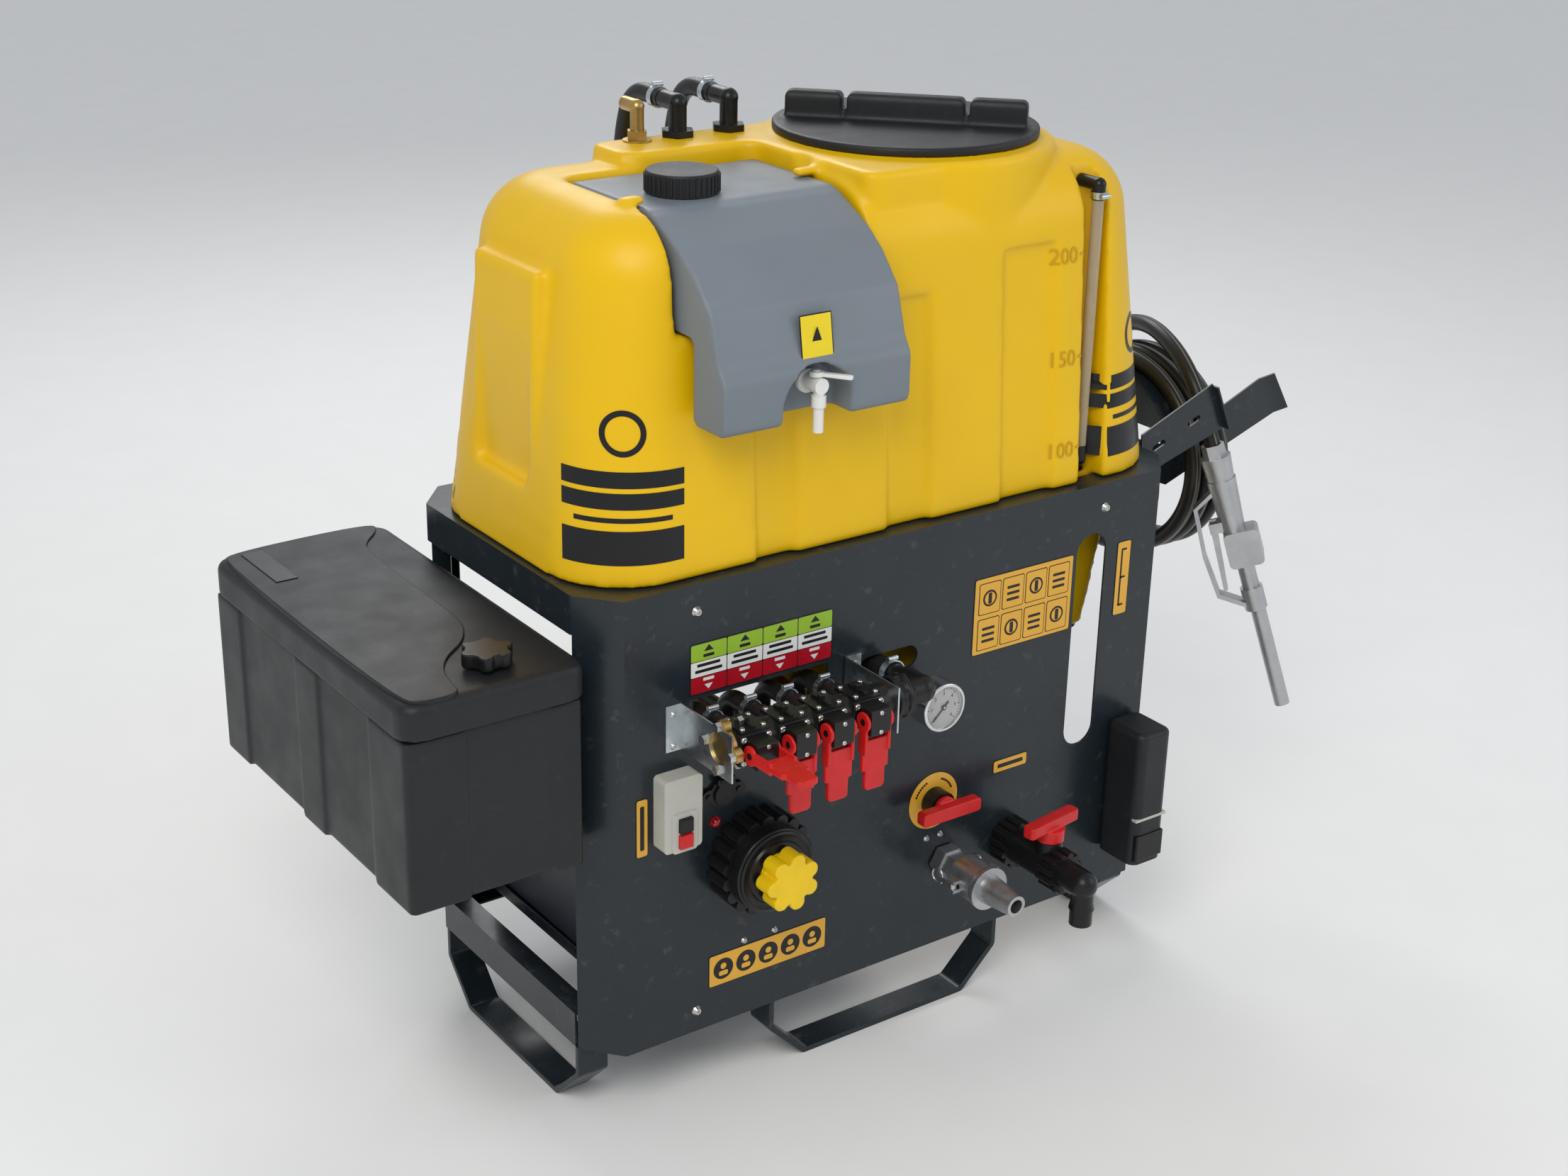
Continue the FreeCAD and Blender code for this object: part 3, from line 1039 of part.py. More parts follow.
def make_machinery():
    """Battery and transfer pump that stand on the tray."""
    floor = "tray_low + plate + 0.1"
    block = rounded(box(("battery_long", "battery_deep", "battery_tall"), ("battery_x", "battery_y",
                                                                           floor)), 6, along("z"))
    posts = [rod(8, 12, ("battery_x + 30", "battery_y + %d" % y,
                         "tray_low + plate + battery_tall")) for y in (40, 200)]
    finish("battery", fuse(block, *posts))
    foot = box((150, 120, 8), ("pump_x - 75", "pump_y - 60", floor))
    motor = rod(48, 130, ("pump_x - 60", "pump_y", "tray_low + 70"), "x")
    head = rod(58, 44, ("pump_x - 24", "pump_y", "tray_low + 70"), "x")
    saddle = box((90, 70, 34), ("pump_x - 45", "pump_y - 35", floor))
    ports = fuse(rod(15, 62, ("pump_x - 3", "pump_y - 1", "tray_low + 113"), "y"),
                 rod(15, 62, ("pump_x - 3", "pump_y - 61", "tray_low + 113"), "y"))
    finish("pump", fuse(foot, motor, head, saddle, ports))


fill_sheet()
make_deck()
make_lower_frame()
make_foot_loops()
make_tray()
make_panel()
make_fasteners()
make_labels()
make_tank()
make_lid()
make_basket()
make_top_fittings()
make_brass()
make_clamps()
make_hoses()
make_wash_tank()
make_tap()
make_toolbox()
make_manifold()
make_brackets()
for index, x in enumerate(VALVES):
    valve_lever("valve_lever_%d" % (index + 1), x, -90 if index == 0 else 0)
make_gauge()
make_switch()
make_socket()
make_filter()
make_selector()
make_camlock()
make_drain()
make_soap()
make_hanger()
make_hose()
make_nozzle()
make_machinery()
doc.recompute()

for item in doc.Objects:
    if "Invalid" in item.State or "Error" in item.State:
        raise ValueError("%s failed: %s" % (item.Name, item.State))
whole = FreeCAD.BoundBox()
faults = []
os.makedirs("parts", exist_ok=True)
for name, item in nodes.items():
    shape = item.Shape
    if shape.isNull() or not shape.isValid():
        faults.append(name)
        continue
    limits = shape.BoundBox
    if name not in ("hose_feed", "hose_coil", "hose_tail", "nozzle_body", "nozzle_trigger"):
        whole.add(limits)
    print("%-20s solids %d  x %.1f %.1f  y %.1f %.1f  z %.1f %.1f  %.0f cm3" % (
        name, len(shape.Solids), limits.XMin, limits.XMax, limits.YMin, limits.YMax, limits.ZMin, limits.ZMax,
        shape.Volume / 1000))
    shape.exportStep("parts/%s.step" % name)
print(len(nodes), "nodes; box", whole)
if faults:
    raise ValueError("no valid shape: %s" % ", ".join(faults))
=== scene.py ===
"""Looks of the spray-mixing station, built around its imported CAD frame.

Lengths are metres. at(x, y, z) takes millimetres from the CAD model's datum, the deck's top surface
at the front panel's left bend, as the design does.
"""

import json
import math

import bmesh
import bpy
from mathutils import Matrix, Vector
from mathutils.bvhtree import BVHTree


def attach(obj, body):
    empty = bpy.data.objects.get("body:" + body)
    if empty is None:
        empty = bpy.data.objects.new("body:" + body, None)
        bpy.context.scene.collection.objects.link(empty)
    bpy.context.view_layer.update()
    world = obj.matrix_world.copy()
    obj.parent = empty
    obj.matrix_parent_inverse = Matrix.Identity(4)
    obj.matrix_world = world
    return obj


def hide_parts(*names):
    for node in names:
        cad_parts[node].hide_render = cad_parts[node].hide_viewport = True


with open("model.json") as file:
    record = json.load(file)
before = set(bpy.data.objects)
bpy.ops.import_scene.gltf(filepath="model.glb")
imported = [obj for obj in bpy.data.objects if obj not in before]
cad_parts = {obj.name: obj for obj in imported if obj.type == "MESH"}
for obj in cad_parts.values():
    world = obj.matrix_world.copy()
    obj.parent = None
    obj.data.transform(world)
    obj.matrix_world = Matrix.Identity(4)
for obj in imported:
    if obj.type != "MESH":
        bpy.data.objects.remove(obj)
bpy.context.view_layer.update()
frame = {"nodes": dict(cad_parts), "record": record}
NODES = frame["nodes"]
SLOTS = {row["node"]: row["material_slot"] for row in frame["record"]["subparts"]}
DATUM = Vector((-0.503, -0.169, 0.742))
SCENE = bpy.context.scene


def at(x, y, z):
    """A point given in millimetres from the datum."""
    return DATUM + Vector((x, y, z)) / 1000


# ---------------------------------------------------------------- camera, light and floor

def make_camera():
    """Camera at the height of the tank's lid, to the left of the front panel."""
    yaw, pitch, roll = (math.radians(angle) for angle in (35.97, 22.66, -1.30))
    ahead = Vector((math.sin(yaw) * math.cos(pitch), math.cos(yaw) * math.cos(pitch), -math.sin(pitch)))
    level = Vector((math.cos(yaw), -math.sin(yaw), 0))
    down = ahead.cross(level)
    right = level * math.cos(roll) + down * math.sin(roll)
    down = down * math.cos(roll) - level * math.sin(roll)
    data = bpy.data.cameras.new("camera")
    data.lens = 52.63
    data.sensor_width = 36
    data.clip_end = 60
    camera = bpy.data.objects.new("camera", data)
    SCENE.collection.objects.link(camera)
    turn = Matrix((right, -down, -ahead)).transposed()
    camera.matrix_world = Matrix.Translation((-1.8173, -2.3024, 1.8084)) @ turn.to_4x4()
    SCENE.camera = camera


def area_light(name, place, aim, size, power, tint):
    data = bpy.data.lights.new(name, "AREA")
    data.shape = "DISK"
    data.size = size
    data.energy = power
    data.color = tint
    lamp = bpy.data.objects.new(name, data)
    SCENE.collection.objects.link(lamp)
    lamp.location = place
    lamp.rotation_euler = (Vector(aim) - Vector(place)).to_track_quat("-Z", "Y").to_euler()


def make_light():
    """Soft daylight from all round, a large key from the front left and a weaker fill."""
    world = bpy.data.worlds.new("sky")
    SCENE.world = world
    world.use_nodes = True
    sky = world.node_tree.nodes["Background"]
    sky.inputs["Color"].default_value = (0.93, 0.96, 1.0, 1)
    sky.inputs["Strength"].default_value = 0.56
    area_light("key", (-2.6, -2.2, 3.6), (0, 0, 0.7), 2.4, 78, (1.0, 0.97, 0.92))
    area_light("fill", (2.8, -2.6, 2.2), (0, 0, 0.6), 2.6, 22, (0.92, 0.96, 1.0))
    area_light("rim", (1.2, 3.2, 3.4), (0, 0, 0.8), 2.2, 45, (1.0, 1.0, 1.0))
    SCENE.view_settings.view_transform = "Standard"


def noise(tree, scale, detail, rough=0.55):
    """Noise in object space."""
    place = tree.nodes.new("ShaderNodeTexCoord")
    texture = tree.nodes.new("ShaderNodeTexNoise")
    texture.inputs["Scale"].default_value = scale
    texture.inputs["Detail"].default_value = detail
    texture.inputs["Roughness"].default_value = rough
    tree.links.new(place.outputs["Object"], texture.inputs["Vector"])
    return texture.outputs["Fac"]


def ranged(tree, source, low, high, from_low=0.3, from_high=0.7):
    """Map a factor to a range."""
    node = tree.nodes.new("ShaderNodeMapRange")
    node.inputs["From Min"].default_value = from_low
    node.inputs["From Max"].default_value = from_high
    node.inputs["To Min"].default_value = low
    node.inputs["To Max"].default_value = high
    tree.links.new(source, node.inputs["Value"])
    return node.outputs["Result"]


def mixed(tree, factor, first, second):
    """Mix two colours, each a tuple or another node's output."""
    node = tree.nodes.new("ShaderNodeMix")
    node.data_type = "RGBA"
    tree.links.new(factor, node.inputs["Factor"])
    for name, colour in (("A", first), ("B", second)):
        socket = [item for item in node.inputs if item.name == name and item.type == "RGBA"][0]
        if isinstance(colour, tuple):
            socket.default_value = (*colour, 1)
        else:
            tree.links.new(colour, socket)
    return [item for item in node.outputs if item.type == "RGBA"][0]


def shade(colour, factor):
    """A colour made darker or lighter."""
    return tuple(min(1.0, part * factor) for part in colour)


def surface(name, colour, rough, metal=0.0, coat=0.0, mottle=0.10, mottle_scale=7, grain=0.1, grain_scale=700,
            dust=0.0, dust_colour=(0.55, 0.5, 0.42), scatter=0.0):
    """Principled material with colour patches, uneven gloss, fine relief and a little dust."""
    material = bpy.data.materials.new(name)
    material.use_nodes = True
    tree = material.node_tree
    shader = tree.nodes["Principled BSDF"]
    shader.inputs["Metallic"].default_value = metal
    shader.inputs["Coat Weight"].default_value = coat
    shader.inputs["Coat Roughness"].default_value = 0.12
    if not metal:
        shader.inputs["Specular IOR Level"].default_value = 0.36
    if scatter:
        shader.inputs["Subsurface Weight"].default_value = scatter
        shader.inputs["Subsurface Radius"].default_value = (0.012, 0.006, 0.001)
        shader.inputs["Subsurface Scale"].default_value = 1.0
    patches = ranged(tree, noise(tree, mottle_scale, 5), 0, 1)
    tint = mixed(tree, patches, shade(colour, 1 - mottle), shade(colour, 1 + mottle))
    if dust:
        specks = ranged(tree, noise(tree, mottle_scale * 6, 8, 0.7), 0, dust, 0.58, 0.75)
        tint = mixed(tree, specks, tint, dust_colour)
    tree.links.new(tint, shader.inputs["Base Color"])
    gloss = ranged(tree, noise(tree, mottle_scale * 3, 4), rough - 0.05, rough + 0.07)
    tree.links.new(gloss, shader.inputs["Roughness"])
    bump = tree.nodes.new("ShaderNodeBump")
    bump.inputs["Strength"].default_value = grain
    bump.inputs["Distance"].default_value = 0.0006
    tree.links.new(noise(tree, grain_scale, 2, 0.5), bump.inputs["Height"])
    tree.links.new(bump.outputs["Normal"], shader.inputs["Normal"])
    return material


def make_floor():
    """Wide plain floor."""
    mesh = bpy.data.meshes.new("floor")
    reach = 30
    corners = [(-reach, -reach, 0), (reach, -reach, 0), (reach, reach, 0), (-reach, reach, 0)]
    mesh.from_pydata(corners, [], [(0, 1, 2, 3)])
    floor = bpy.data.objects.new("floor", mesh)
    SCENE.collection.objects.link(floor)
    floor.data.materials.append(surface("floor_paint", (0.92, 0.92, 0.91), 0.7, mottle=0.01, grain=0.02))


# ---------------------------------------------------------------- materials

MATERIALS = {
    "frame_paint": surface("slate_powder_coat", (0.013, 0.020, 0.026), 0.27, coat=0.12, mottle=0.10,
                           grain=0.10, grain_scale=420, dust=0.10),
    "tank_yellow": surface("yellow_moulded", (0.84, 0.51, 0.001), 0.38, mottle=0.045, mottle_scale=4,
                           grain=0.10,
                           grain_scale=520, dust=0.05, dust_colour=(0.80, 0.62, 0.25), scatter=0.03),
    "wash_grey": surface("grey_moulded", (0.185, 0.215, 0.245), 0.42, mottle=0.05, mottle_scale=5, grain=0.12,
                         grain_scale=520, dust=0.06, dust_colour=(0.4, 0.4, 0.38)),
    "black_plastic": surface("black_textured", (0.014, 0.015, 0.017), 0.44, mottle=0.15, grain=0.45,
                             grain_scale=1100, dust=0.12, dust_colour=(0.12, 0.115, 0.10)),
    "black_gloss": surface("black_nylon", (0.008, 0.008, 0.009), 0.30, mottle=0.15, grain=0.12,
                           grain_scale=900, dust=0.06, dust_colour=(0.14, 0.13, 0.12)),
    "red_plastic": surface("red_moulded", (0.62, 0.012, 0.012), 0.32, coat=0.1, mottle=0.08,
                           mottle_scale=30, grain=0.08),
    "white_plastic": surface("white_moulded", (0.80, 0.80, 0.77), 0.30, mottle=0.03, mottle_scale=40,
                             grain=0.06),
    "switch_grey": surface("light_grey_moulded", (0.52, 0.52, 0.47), 0.42, mottle=0.04, mottle_scale=25,
                           grain=0.25, grain_scale=1500),
    "knob_yellow": surface("yellow_knob", (0.90, 0.60, 0.006), 0.30, coat=0.1, mottle=0.05,
                           mottle_scale=30, grain=0.12),
    "label_amber": surface("amber_film", (0.76, 0.40, 0.035), 0.28, coat=0.2, mottle=0.03,
                           mottle_scale=20, grain=0.02),
    "lamp_red": surface("red_lens", (0.30, 0.002, 0.006), 0.12, coat=0.8, mottle=0.1, mottle_scale=60,
                        grain=0.02),
    "hose_rubber": surface("black_rubber", (0.012, 0.012, 0.012), 0.36, mottle=0.2, mottle_scale=12,
                           grain=0.10, dust=0.15, dust_colour=(0.10, 0.095, 0.08)),
    "zinc_steel": surface("zinc_plate", (0.56, 0.60, 0.62), 0.30, metal=1.0, mottle=0.12, mottle_scale=30,
                          grain=0.10, grain_scale=300),
    "bolt_steel": surface("stainless", (0.62, 0.61, 0.59), 0.26, metal=1.0, mottle=0.1, mottle_scale=60,
                          grain=0.05),
    "brass": surface("brass", (0.50, 0.34, 0.12), 0.34, metal=1.0, mottle=0.18, mottle_scale=30, grain=0.15,
                     grain_scale=300),
    "aluminium": surface("cast_aluminium", (0.52, 0.53, 0.54), 0.38, metal=1.0, mottle=0.10,
                         mottle_scale=25, grain=0.35, grain_scale=600),
    "gauge_steel": surface("polished_steel", (0.70, 0.71, 0.72), 0.16, metal=1.0, mottle=0.06,
                           mottle_scale=40, grain=0.03),
    "needle_black": surface("needle_paint", (0.01, 0.01, 0.01), 0.4, mottle=0.05, grain=0.02),
    "battery_black": surface("battery_case", (0.016, 0.017, 0.03), 0.4, mottle=0.1, grain=0.3,
                             grain_scale=900),
    "pump_metal": surface("pump_paint", (0.03, 0.05, 0.09), 0.42, mottle=0.15, grain=0.4, grain_scale=400),
    "basket_white": surface("basket_moulded", (0.55, 0.55, 0.52), 0.45, mottle=0.05, grain=0.1),
}
FILM_BLACK = surface("black_film", (0.010, 0.010, 0.011), 0.30, mottle=0.1, mottle_scale=30, grain=0.02)
FILM_WHITE = surface("white_film", (0.78, 0.78, 0.76), 0.30, mottle=0.02, mottle_scale=30, grain=0.02)
FILM_GREEN = surface("green_film", (0.30, 0.50, 0.03), 0.30, mottle=0.03, mottle_scale=30, grain=0.02)
FILM_RED = surface("red_film", (0.42, 0.005, 0.015), 0.30, mottle=0.03, mottle_scale=30, grain=0.02)
# Tank yellow painted darker for the raised level figures: painted shade standing in for the shading on their
# moulded relief.
SHADED_RAISED_YELLOW = surface("yellow_marks_painted_shade", (0.60, 0.35, 0.001), 0.36, mottle=0.03, mottle_scale=30, grain=0.05)
FILM_YELLOW = surface("yellow_film", (0.86, 0.66, 0.02), 0.30, mottle=0.03, mottle_scale=30, grain=0.02)


def make_clear(name, colour, rough, weight):
    """Clear plastic or glass with faint smears."""
    material = surface(name, colour, rough, mottle=0.05, mottle_scale=40, grain=0.02)
    shader = material.node_tree.nodes["Principled BSDF"]
    shader.inputs["Transmission Weight"].default_value = weight
    shader.inputs["IOR"].default_value = 1.45
    return material


MATERIALS["sight_clear"] = make_clear("clear_tube", (0.72, 0.62, 0.42), 0.18, 0.6)
GLASS = make_clear("gauge_glass", (0.98, 0.98, 0.98), 0.05, 1.0)


# ---------------------------------------------------------------- mesh helpers

def add_block(mesh, low, high, turn=Matrix()):
    """Block between two corners in datum millimetres, turned about its own middle."""
    low, high = at(*low), at(*high)
    matrix = Matrix.Translation((low + high) / 2) @ turn @ Matrix.Diagonal((*(high - low), 1))
    bmesh.ops.create_cube(mesh, size=1, matrix=matrix)


def add_rod(mesh, start, end, radius, sides=24):
    """Round bar between two points in datum millimetres."""
    start, end = at(*start), at(*end)
    span = end - start
    turn = span.to_track_quat("Z", "Y").to_matrix().to_4x4()
    bmesh.ops.create_cone(mesh, cap_ends=True, segments=sides, radius1=radius / 1000, radius2=radius / 1000,
                          depth=span.length, matrix=Matrix.Translation((start + end) / 2) @ turn)


def add_prism(mesh, points, front, thick):
    """Shape with its corners given by x and z, from front to front + thick along y, in datum millimetres."""
    ends = [[mesh.verts.new(at(x, depth, z)) for x, z in points] for depth in (front, front + thick)]
    mesh.faces.new(ends[0])
    mesh.faces.new(list(reversed(ends[1])))
    for index in range(len(points)):
        after = (index + 1) % len(points)
        mesh.faces.new((ends[0][index], ends[1][index], ends[1][after], ends[0][after]))


def mesh_data(name, mesh):
    """Turn a bmesh into mesh data with its faces outward, and free it."""
    data = bpy.data.meshes.new(name)
    bmesh.ops.recalc_face_normals(mesh, faces=mesh.faces)
    mesh.to_mesh(data)
    mesh.free()
    return data


def add_lathe(mesh, centre, axis, profile, sides=64):
    """Turned shape: the profile lists radius and distance along the axis, in millimetres."""
    turn = Vector(axis).to_track_quat("Z", "Y").to_matrix()
    rings = []
    for radius, along in profile:
        ring = []
        for index in range(sides):
            angle = 2 * math.pi * index / sides
            local = Vector((radius * math.cos(angle), radius * math.sin(angle), along)) / 1000
            ring.append(mesh.verts.new(at(*centre) + turn @ local))
        rings.append(ring)
    for inner, outer in zip(rings, rings[1:]):
        for index in range(sides):
            after = (index + 1) % sides
            mesh.faces.new((inner[index], inner[after], outer[after], outer[index]))
    mesh.faces.new(list(reversed(rings[0])))
    mesh.faces.new(rings[-1])


def piece(name, mesh, body, slot, material=None, bevel=0.0):
    """Make a bmesh into a piece that rides on a body."""
    return dress(name, mesh_data(name, mesh), body, slot, material, bevel)


def dress(name, data, body, slot, material=None, bevel=0.0, sharp=35):
    """Make mesh data into a piece: its material (from the slot unless one is given), soft edges and body.
    Sharp is an angle in degrees.
    """
    data.materials.clear()
    data.materials.append(material or MATERIALS[slot])
    data.shade_smooth()
    data.set_sharp_from_angle(angle=math.radians(sharp))
    item = bpy.data.objects.new(name, data)
    SCENE.collection.objects.link(item)
    if bevel:
        soft = item.modifiers.new("edges", "BEVEL")
        soft.width = bevel
        soft.segments = 2
        soft.limit_method = "ANGLE"
        soft.angle_limit = math.radians(40)
    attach(item, body)
    return item


def add_boolean(source, label, build, operation):
    """Join to or cut from an object the shapes that build adds to a mesh. Returns the shapes' object."""
    mesh = bmesh.new()
    build(mesh)
    tool = bpy.data.objects.new(label, mesh_data(label, mesh))
    SCENE.collection.objects.link(tool)
    boolean = source.modifiers.new(label, "BOOLEAN")
    boolean.operation = operation
    boolean.object = tool
    boolean.solver = "EXACT"
    boolean.use_self = True
    return tool


def moulded(name, node, body, slot, voxel, rounds, extra=None, cutters=None):
    """Soft-edged copy of a CAD node: joined with extra solids, cut, remeshed and smoothed."""
    mesh = bmesh.new()
    mesh.from_mesh(NODES[node].data)
    bmesh.ops.remove_doubles(mesh, verts=mesh.verts, dist=1e-5)
    data = bpy.data.meshes.new(name + "_base")
    mesh.to_mesh(data)
    mesh.free()
    source = bpy.data.objects.new(name + "_base", data)
    SCENE.collection.objects.link(source)
    helpers = [source]
    if extra:
        helpers.append(add_boolean(source, name + "_extra", extra, "UNION"))
    if cutters:
        helpers.append(add_boolean(source, name + "_cutters", cutters, "DIFFERENCE"))
    remesh = source.modifiers.new("voxels", "REMESH")
    remesh.mode = "VOXEL"
    remesh.voxel_size = voxel
    smooth = source.modifiers.new("smooth", "SMOOTH")
    smooth.factor = 0.5
    smooth.iterations = rounds
    graph = bpy.context.evaluated_depsgraph_get()
    result = bpy.data.meshes.new_from_object(source.evaluated_get(graph))
    for helper in helpers:
        bpy.data.objects.remove(helper)
    item = dress(name, result, body, slot, sharp=180)
    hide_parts(node)
    return item


# ---------------------------------------------------------------- delivery hose

HOSE_WIDE = 0.025
HOSE_FEED = [(937.2, 192, -27), (960, 192, -27), (996, 191, -34), (1028, 190, -57), (1050, 190, -92),
             (1060, 191, -138), (1062, 208, -188), (1062, 250, -228), (1062, 300, -242)]
HOSE_TAIL = [(1080, 98, -28), (1071, 107, 10), (1068, 134, 60), (1081, 194, 98), (1107, 280, 110),
             (1134, 366, 82), (1146, 422, 20), (1147, 436, -58)]
COIL_LEFT = 1062
COIL_WIDE = 85
COIL_MIDDLE = (280, -88)
COIL_REACH = 152.5
COIL_START = 31
COIL_TURNS = 2.991
COIL_POINTS = 42


def coil_points():
    """Turns of the hose on the saddle, from the left end at the bottom to the right end at the back."""
    points = []
    for index in range(COIL_POINTS + 1):
        share = index / COIL_POINTS
        angle = math.radians(COIL_START) + share * COIL_TURNS * 2 * math.pi
        points.append((COIL_LEFT + COIL_WIDE * share, COIL_MIDDLE[0] + COIL_REACH * math.sin(angle),
                       COIL_MIDDLE[1] - COIL_REACH * math.cos(angle)))
    return points


def make_hose():
    """One hose from the outlet on the frame, round the saddle and up to the nozzle."""
    route = [at(*point) for point in HOSE_FEED + coil_points() + HOSE_TAIL[::-1]]
    data = bpy.data.curves.new("delivery_hose", "CURVE")
    data.dimensions = "3D"
    data.bevel_depth = HOSE_WIDE / 2
    data.bevel_resolution = 6
    data.resolution_u = 12
    data.use_fill_caps = True
    spline = data.splines.new("NURBS")
    spline.points.add(len(route) - 1)
    for point, place in zip(spline.points, route):
        point.co = (*place, 1)
    spline.order_u = 3
    spline.use_endpoint_u = True
    data.materials.append(hose_material())
    hose = bpy.data.objects.new("delivery_hose", data)
    SCENE.collection.objects.link(hose)
    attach(hose, "station")
    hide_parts("hose_feed", "hose_coil", "hose_tail")


def hose_material():
    """Black rubber with two pale lines along it."""
    material = surface("striped_rubber", (0.010, 0.010, 0.010), 0.34, mottle=0.2, mottle_scale=12, grain=0.10,
                       dust=0.15, dust_colour=(0.10, 0.095, 0.08))
    tree = material.node_tree
    shader = tree.nodes["Principled BSDF"]
    place = tree.nodes.new("ShaderNodeTexCoord")
    split = tree.nodes.new("ShaderNodeSeparateXYZ")
    tree.links.new(place.outputs["UV"], split.inputs["Vector"])
    wave = tree.nodes.new("ShaderNodeMath")
    wave.operation = "PINGPONG"
    wave.inputs[1].default_value = 0.25
    tree.links.new(split.outputs["Y"], wave.inputs[0])
    band = ranged(tree, wave.outputs["Value"], 1, 0, 0.012, 0.02)
    plain = shader.inputs["Base Color"].links[0].from_socket
    tree.links.new(mixed(tree, band, plain, (0.16, 0.15, 0.10)), shader.inputs["Base Color"])
    return material


# ---------------------------------------------------------------- carried-over CAD nodes

BEVELS = {
    "deck": 0.0012, "lower_frame": 0.001, "side_foot_loops": 0.0012, "end_foot_loops": 0.0012,
    "front_panel": 0.0008, "equipment_tray": 0.0008, "manifold_body": 0.0008, "manifold_brackets": 0.0004,
    "switch_box": 0.001, "filter_housing": 0.001, "filter_ring": 0.001, "drain_valve": 0.0008,
    "camlock_coupler": 0.0006, "camlock_adapter": 0.0006, "nozzle_body": 0.001, "hose_hanger": 0.0006,
    "hose_elbows": 0.0008, "brass_fittings": 0.0006, "soap_push_bar": 0.001, "battery": 0.002,
    "pump": 0.002, "handwash_cap": 0.0008, "tap_body": 0.0006, "fasteners": 0.0004,
}


def finish_cad_nodes():
    """Give every CAD node its material, and soften the edges of those that stay in view."""
    for name, node in NODES.items():
        for slot in node.material_slots:
            slot.material = MATERIALS[SLOTS[name]]
        if name in BEVELS:
            weld = node.modifiers.new("weld", "WELD")
            weld.merge_threshold = 0.00001
            flat = node.modifiers.new("flat", "DECIMATE")
            flat.decimate_type = "DISSOLVE"
            flat.angle_limit = math.radians(0.6)
            soft = node.modifiers.new("edges", "BEVEL")
            soft.width = BEVELS[name]
            soft.segments = 2
            soft.limit_method = "ANGLE"
            soft.angle_limit = math.radians(40)
            soft.use_clamp_overlap = True
            normals = node.modifiers.new("normals", "WEIGHTED_NORMAL")
            normals.keep_sharp = False


# ---------------------------------------------------------------- tank, lids and hand-wash tank

def recess_backing(mesh):
    """Wall behind the recess in the tank's left end, on the inside."""
    add_prism(mesh, [(3, 78), (6, 360), (-12, 360), (-22, 78)], 176, 154)


def recess_cutter(mesh):
    """Recess in the tank's left end: deepest at its ledge, running out at the top."""
    add_prism(mesh, [(-8, 92), (-17, 345), (-80, 345), (-80, 92)], 190, 128)


def make_tanks():
    """Both tanks and the lid, with the soft edges of rotational moulding. Returns the main tank."""
    tank = moulded("tank_moulding", "tank", "station", "tank_yellow", 0.0042, 16,
                   recess_backing, recess_cutter)
    moulded("handwash_moulding", "handwash_tank", "station", "wash_grey", 0.0035, 8)
    moulded("lid_moulding", "tank_lid", "lid", "black_plastic", 0.0025, 5)
    return tank


SMALL_MOULDINGS = (
    ("valve_lever_1", "lever_1", 0.0012, 5), ("valve_lever_2", "lever_2", 0.0012, 5),
    ("valve_lever_3", "lever_3", 0.0012, 5), ("valve_lever_4", "lever_4", 0.0012, 5),
    ("filter_knob", "filter_tap", 0.0014, 4), ("selector_handle", "selector", 0.0013, 4),
    ("drain_handle", "drain_lever", 0.0013, 4), ("toolbox_knob", "box_knob", 0.0014, 5),
    ("tap_lever", "tap_handle", 0.0009, 3),
)


def make_small_mouldings():
    """Levers, knobs and handles with the rounded edges of moulded or cast parts."""
    for node, body, voxel, rounds in SMALL_MOULDINGS:
        moulded(node + "_shape", node, body, SLOTS[node], voxel, rounds)


def make_cap_ribs():
    """Grip ribs round the hand-wash cap."""
    mesh = bmesh.new()
    ribs, reach = 36, 45.2
    for index in range(ribs):
        angle = 2 * math.pi * index / ribs
        x, y = 190 + reach * math.cos(angle), 168 + reach * math.sin(angle)
        add_rod(mesh, (x, y, 439.5), (x, y, 461), 1.9, sides=8)
    piece("handwash_cap_ribs", mesh, "wash_cap", "black_plastic")


# ---------------------------------------------------------------- printed films

def surface_tree(item):
    """Search tree of a piece's surface."""
    graph = bpy.context.evaluated_depsgraph_get()
    return BVHTree.FromObject(item, graph)


def wrap(mesh, tree, aim, lift=0.0006):
    """Drop every vertex along a direction on to a surface, and lift it off by a film's thickness."""
    for vert in mesh.verts:
        start = vert.co - aim * 0.1
        hit = tree.ray_cast(start, aim)
        if hit[0] is not None:
            vert.co = hit[0] + hit[1] * lift


def grid(mesh, origin, across, up, wide, tall, columns, rows):
    """Flat grid in metres, centred on a point."""
    rows_of_verts = []
    for row in range(rows + 1):
        line = []
        for column in range(columns + 1):
            place = origin + across * wide * (column / columns - 0.5) + up * tall * (row / rows - 0.5)
            line.append(mesh.verts.new(place))
        rows_of_verts.append(line)
    for low, high in zip(rows_of_verts, rows_of_verts[1:]):
        for column in range(columns):
            mesh.faces.new((low[column], low[column + 1], high[column + 1], high[column]))


def annulus(mesh, origin, across, up, inner, outer, sides=48):
    """Flat ring in metres, centred on a point."""
    rings = []
    for radius in (inner, outer):
        ring = []
        for index in range(sides):
            angle = 2 * math.pi * index / sides
            ring.append(mesh.verts.new(origin + (across * math.cos(angle) + up * math.sin(angle)) * radius))
        rings.append(ring)
    for index in range(sides):
        after = (index + 1) % sides
        mesh.faces.new((rings[0][index], rings[0][after], rings[1][after], rings[1][index]))


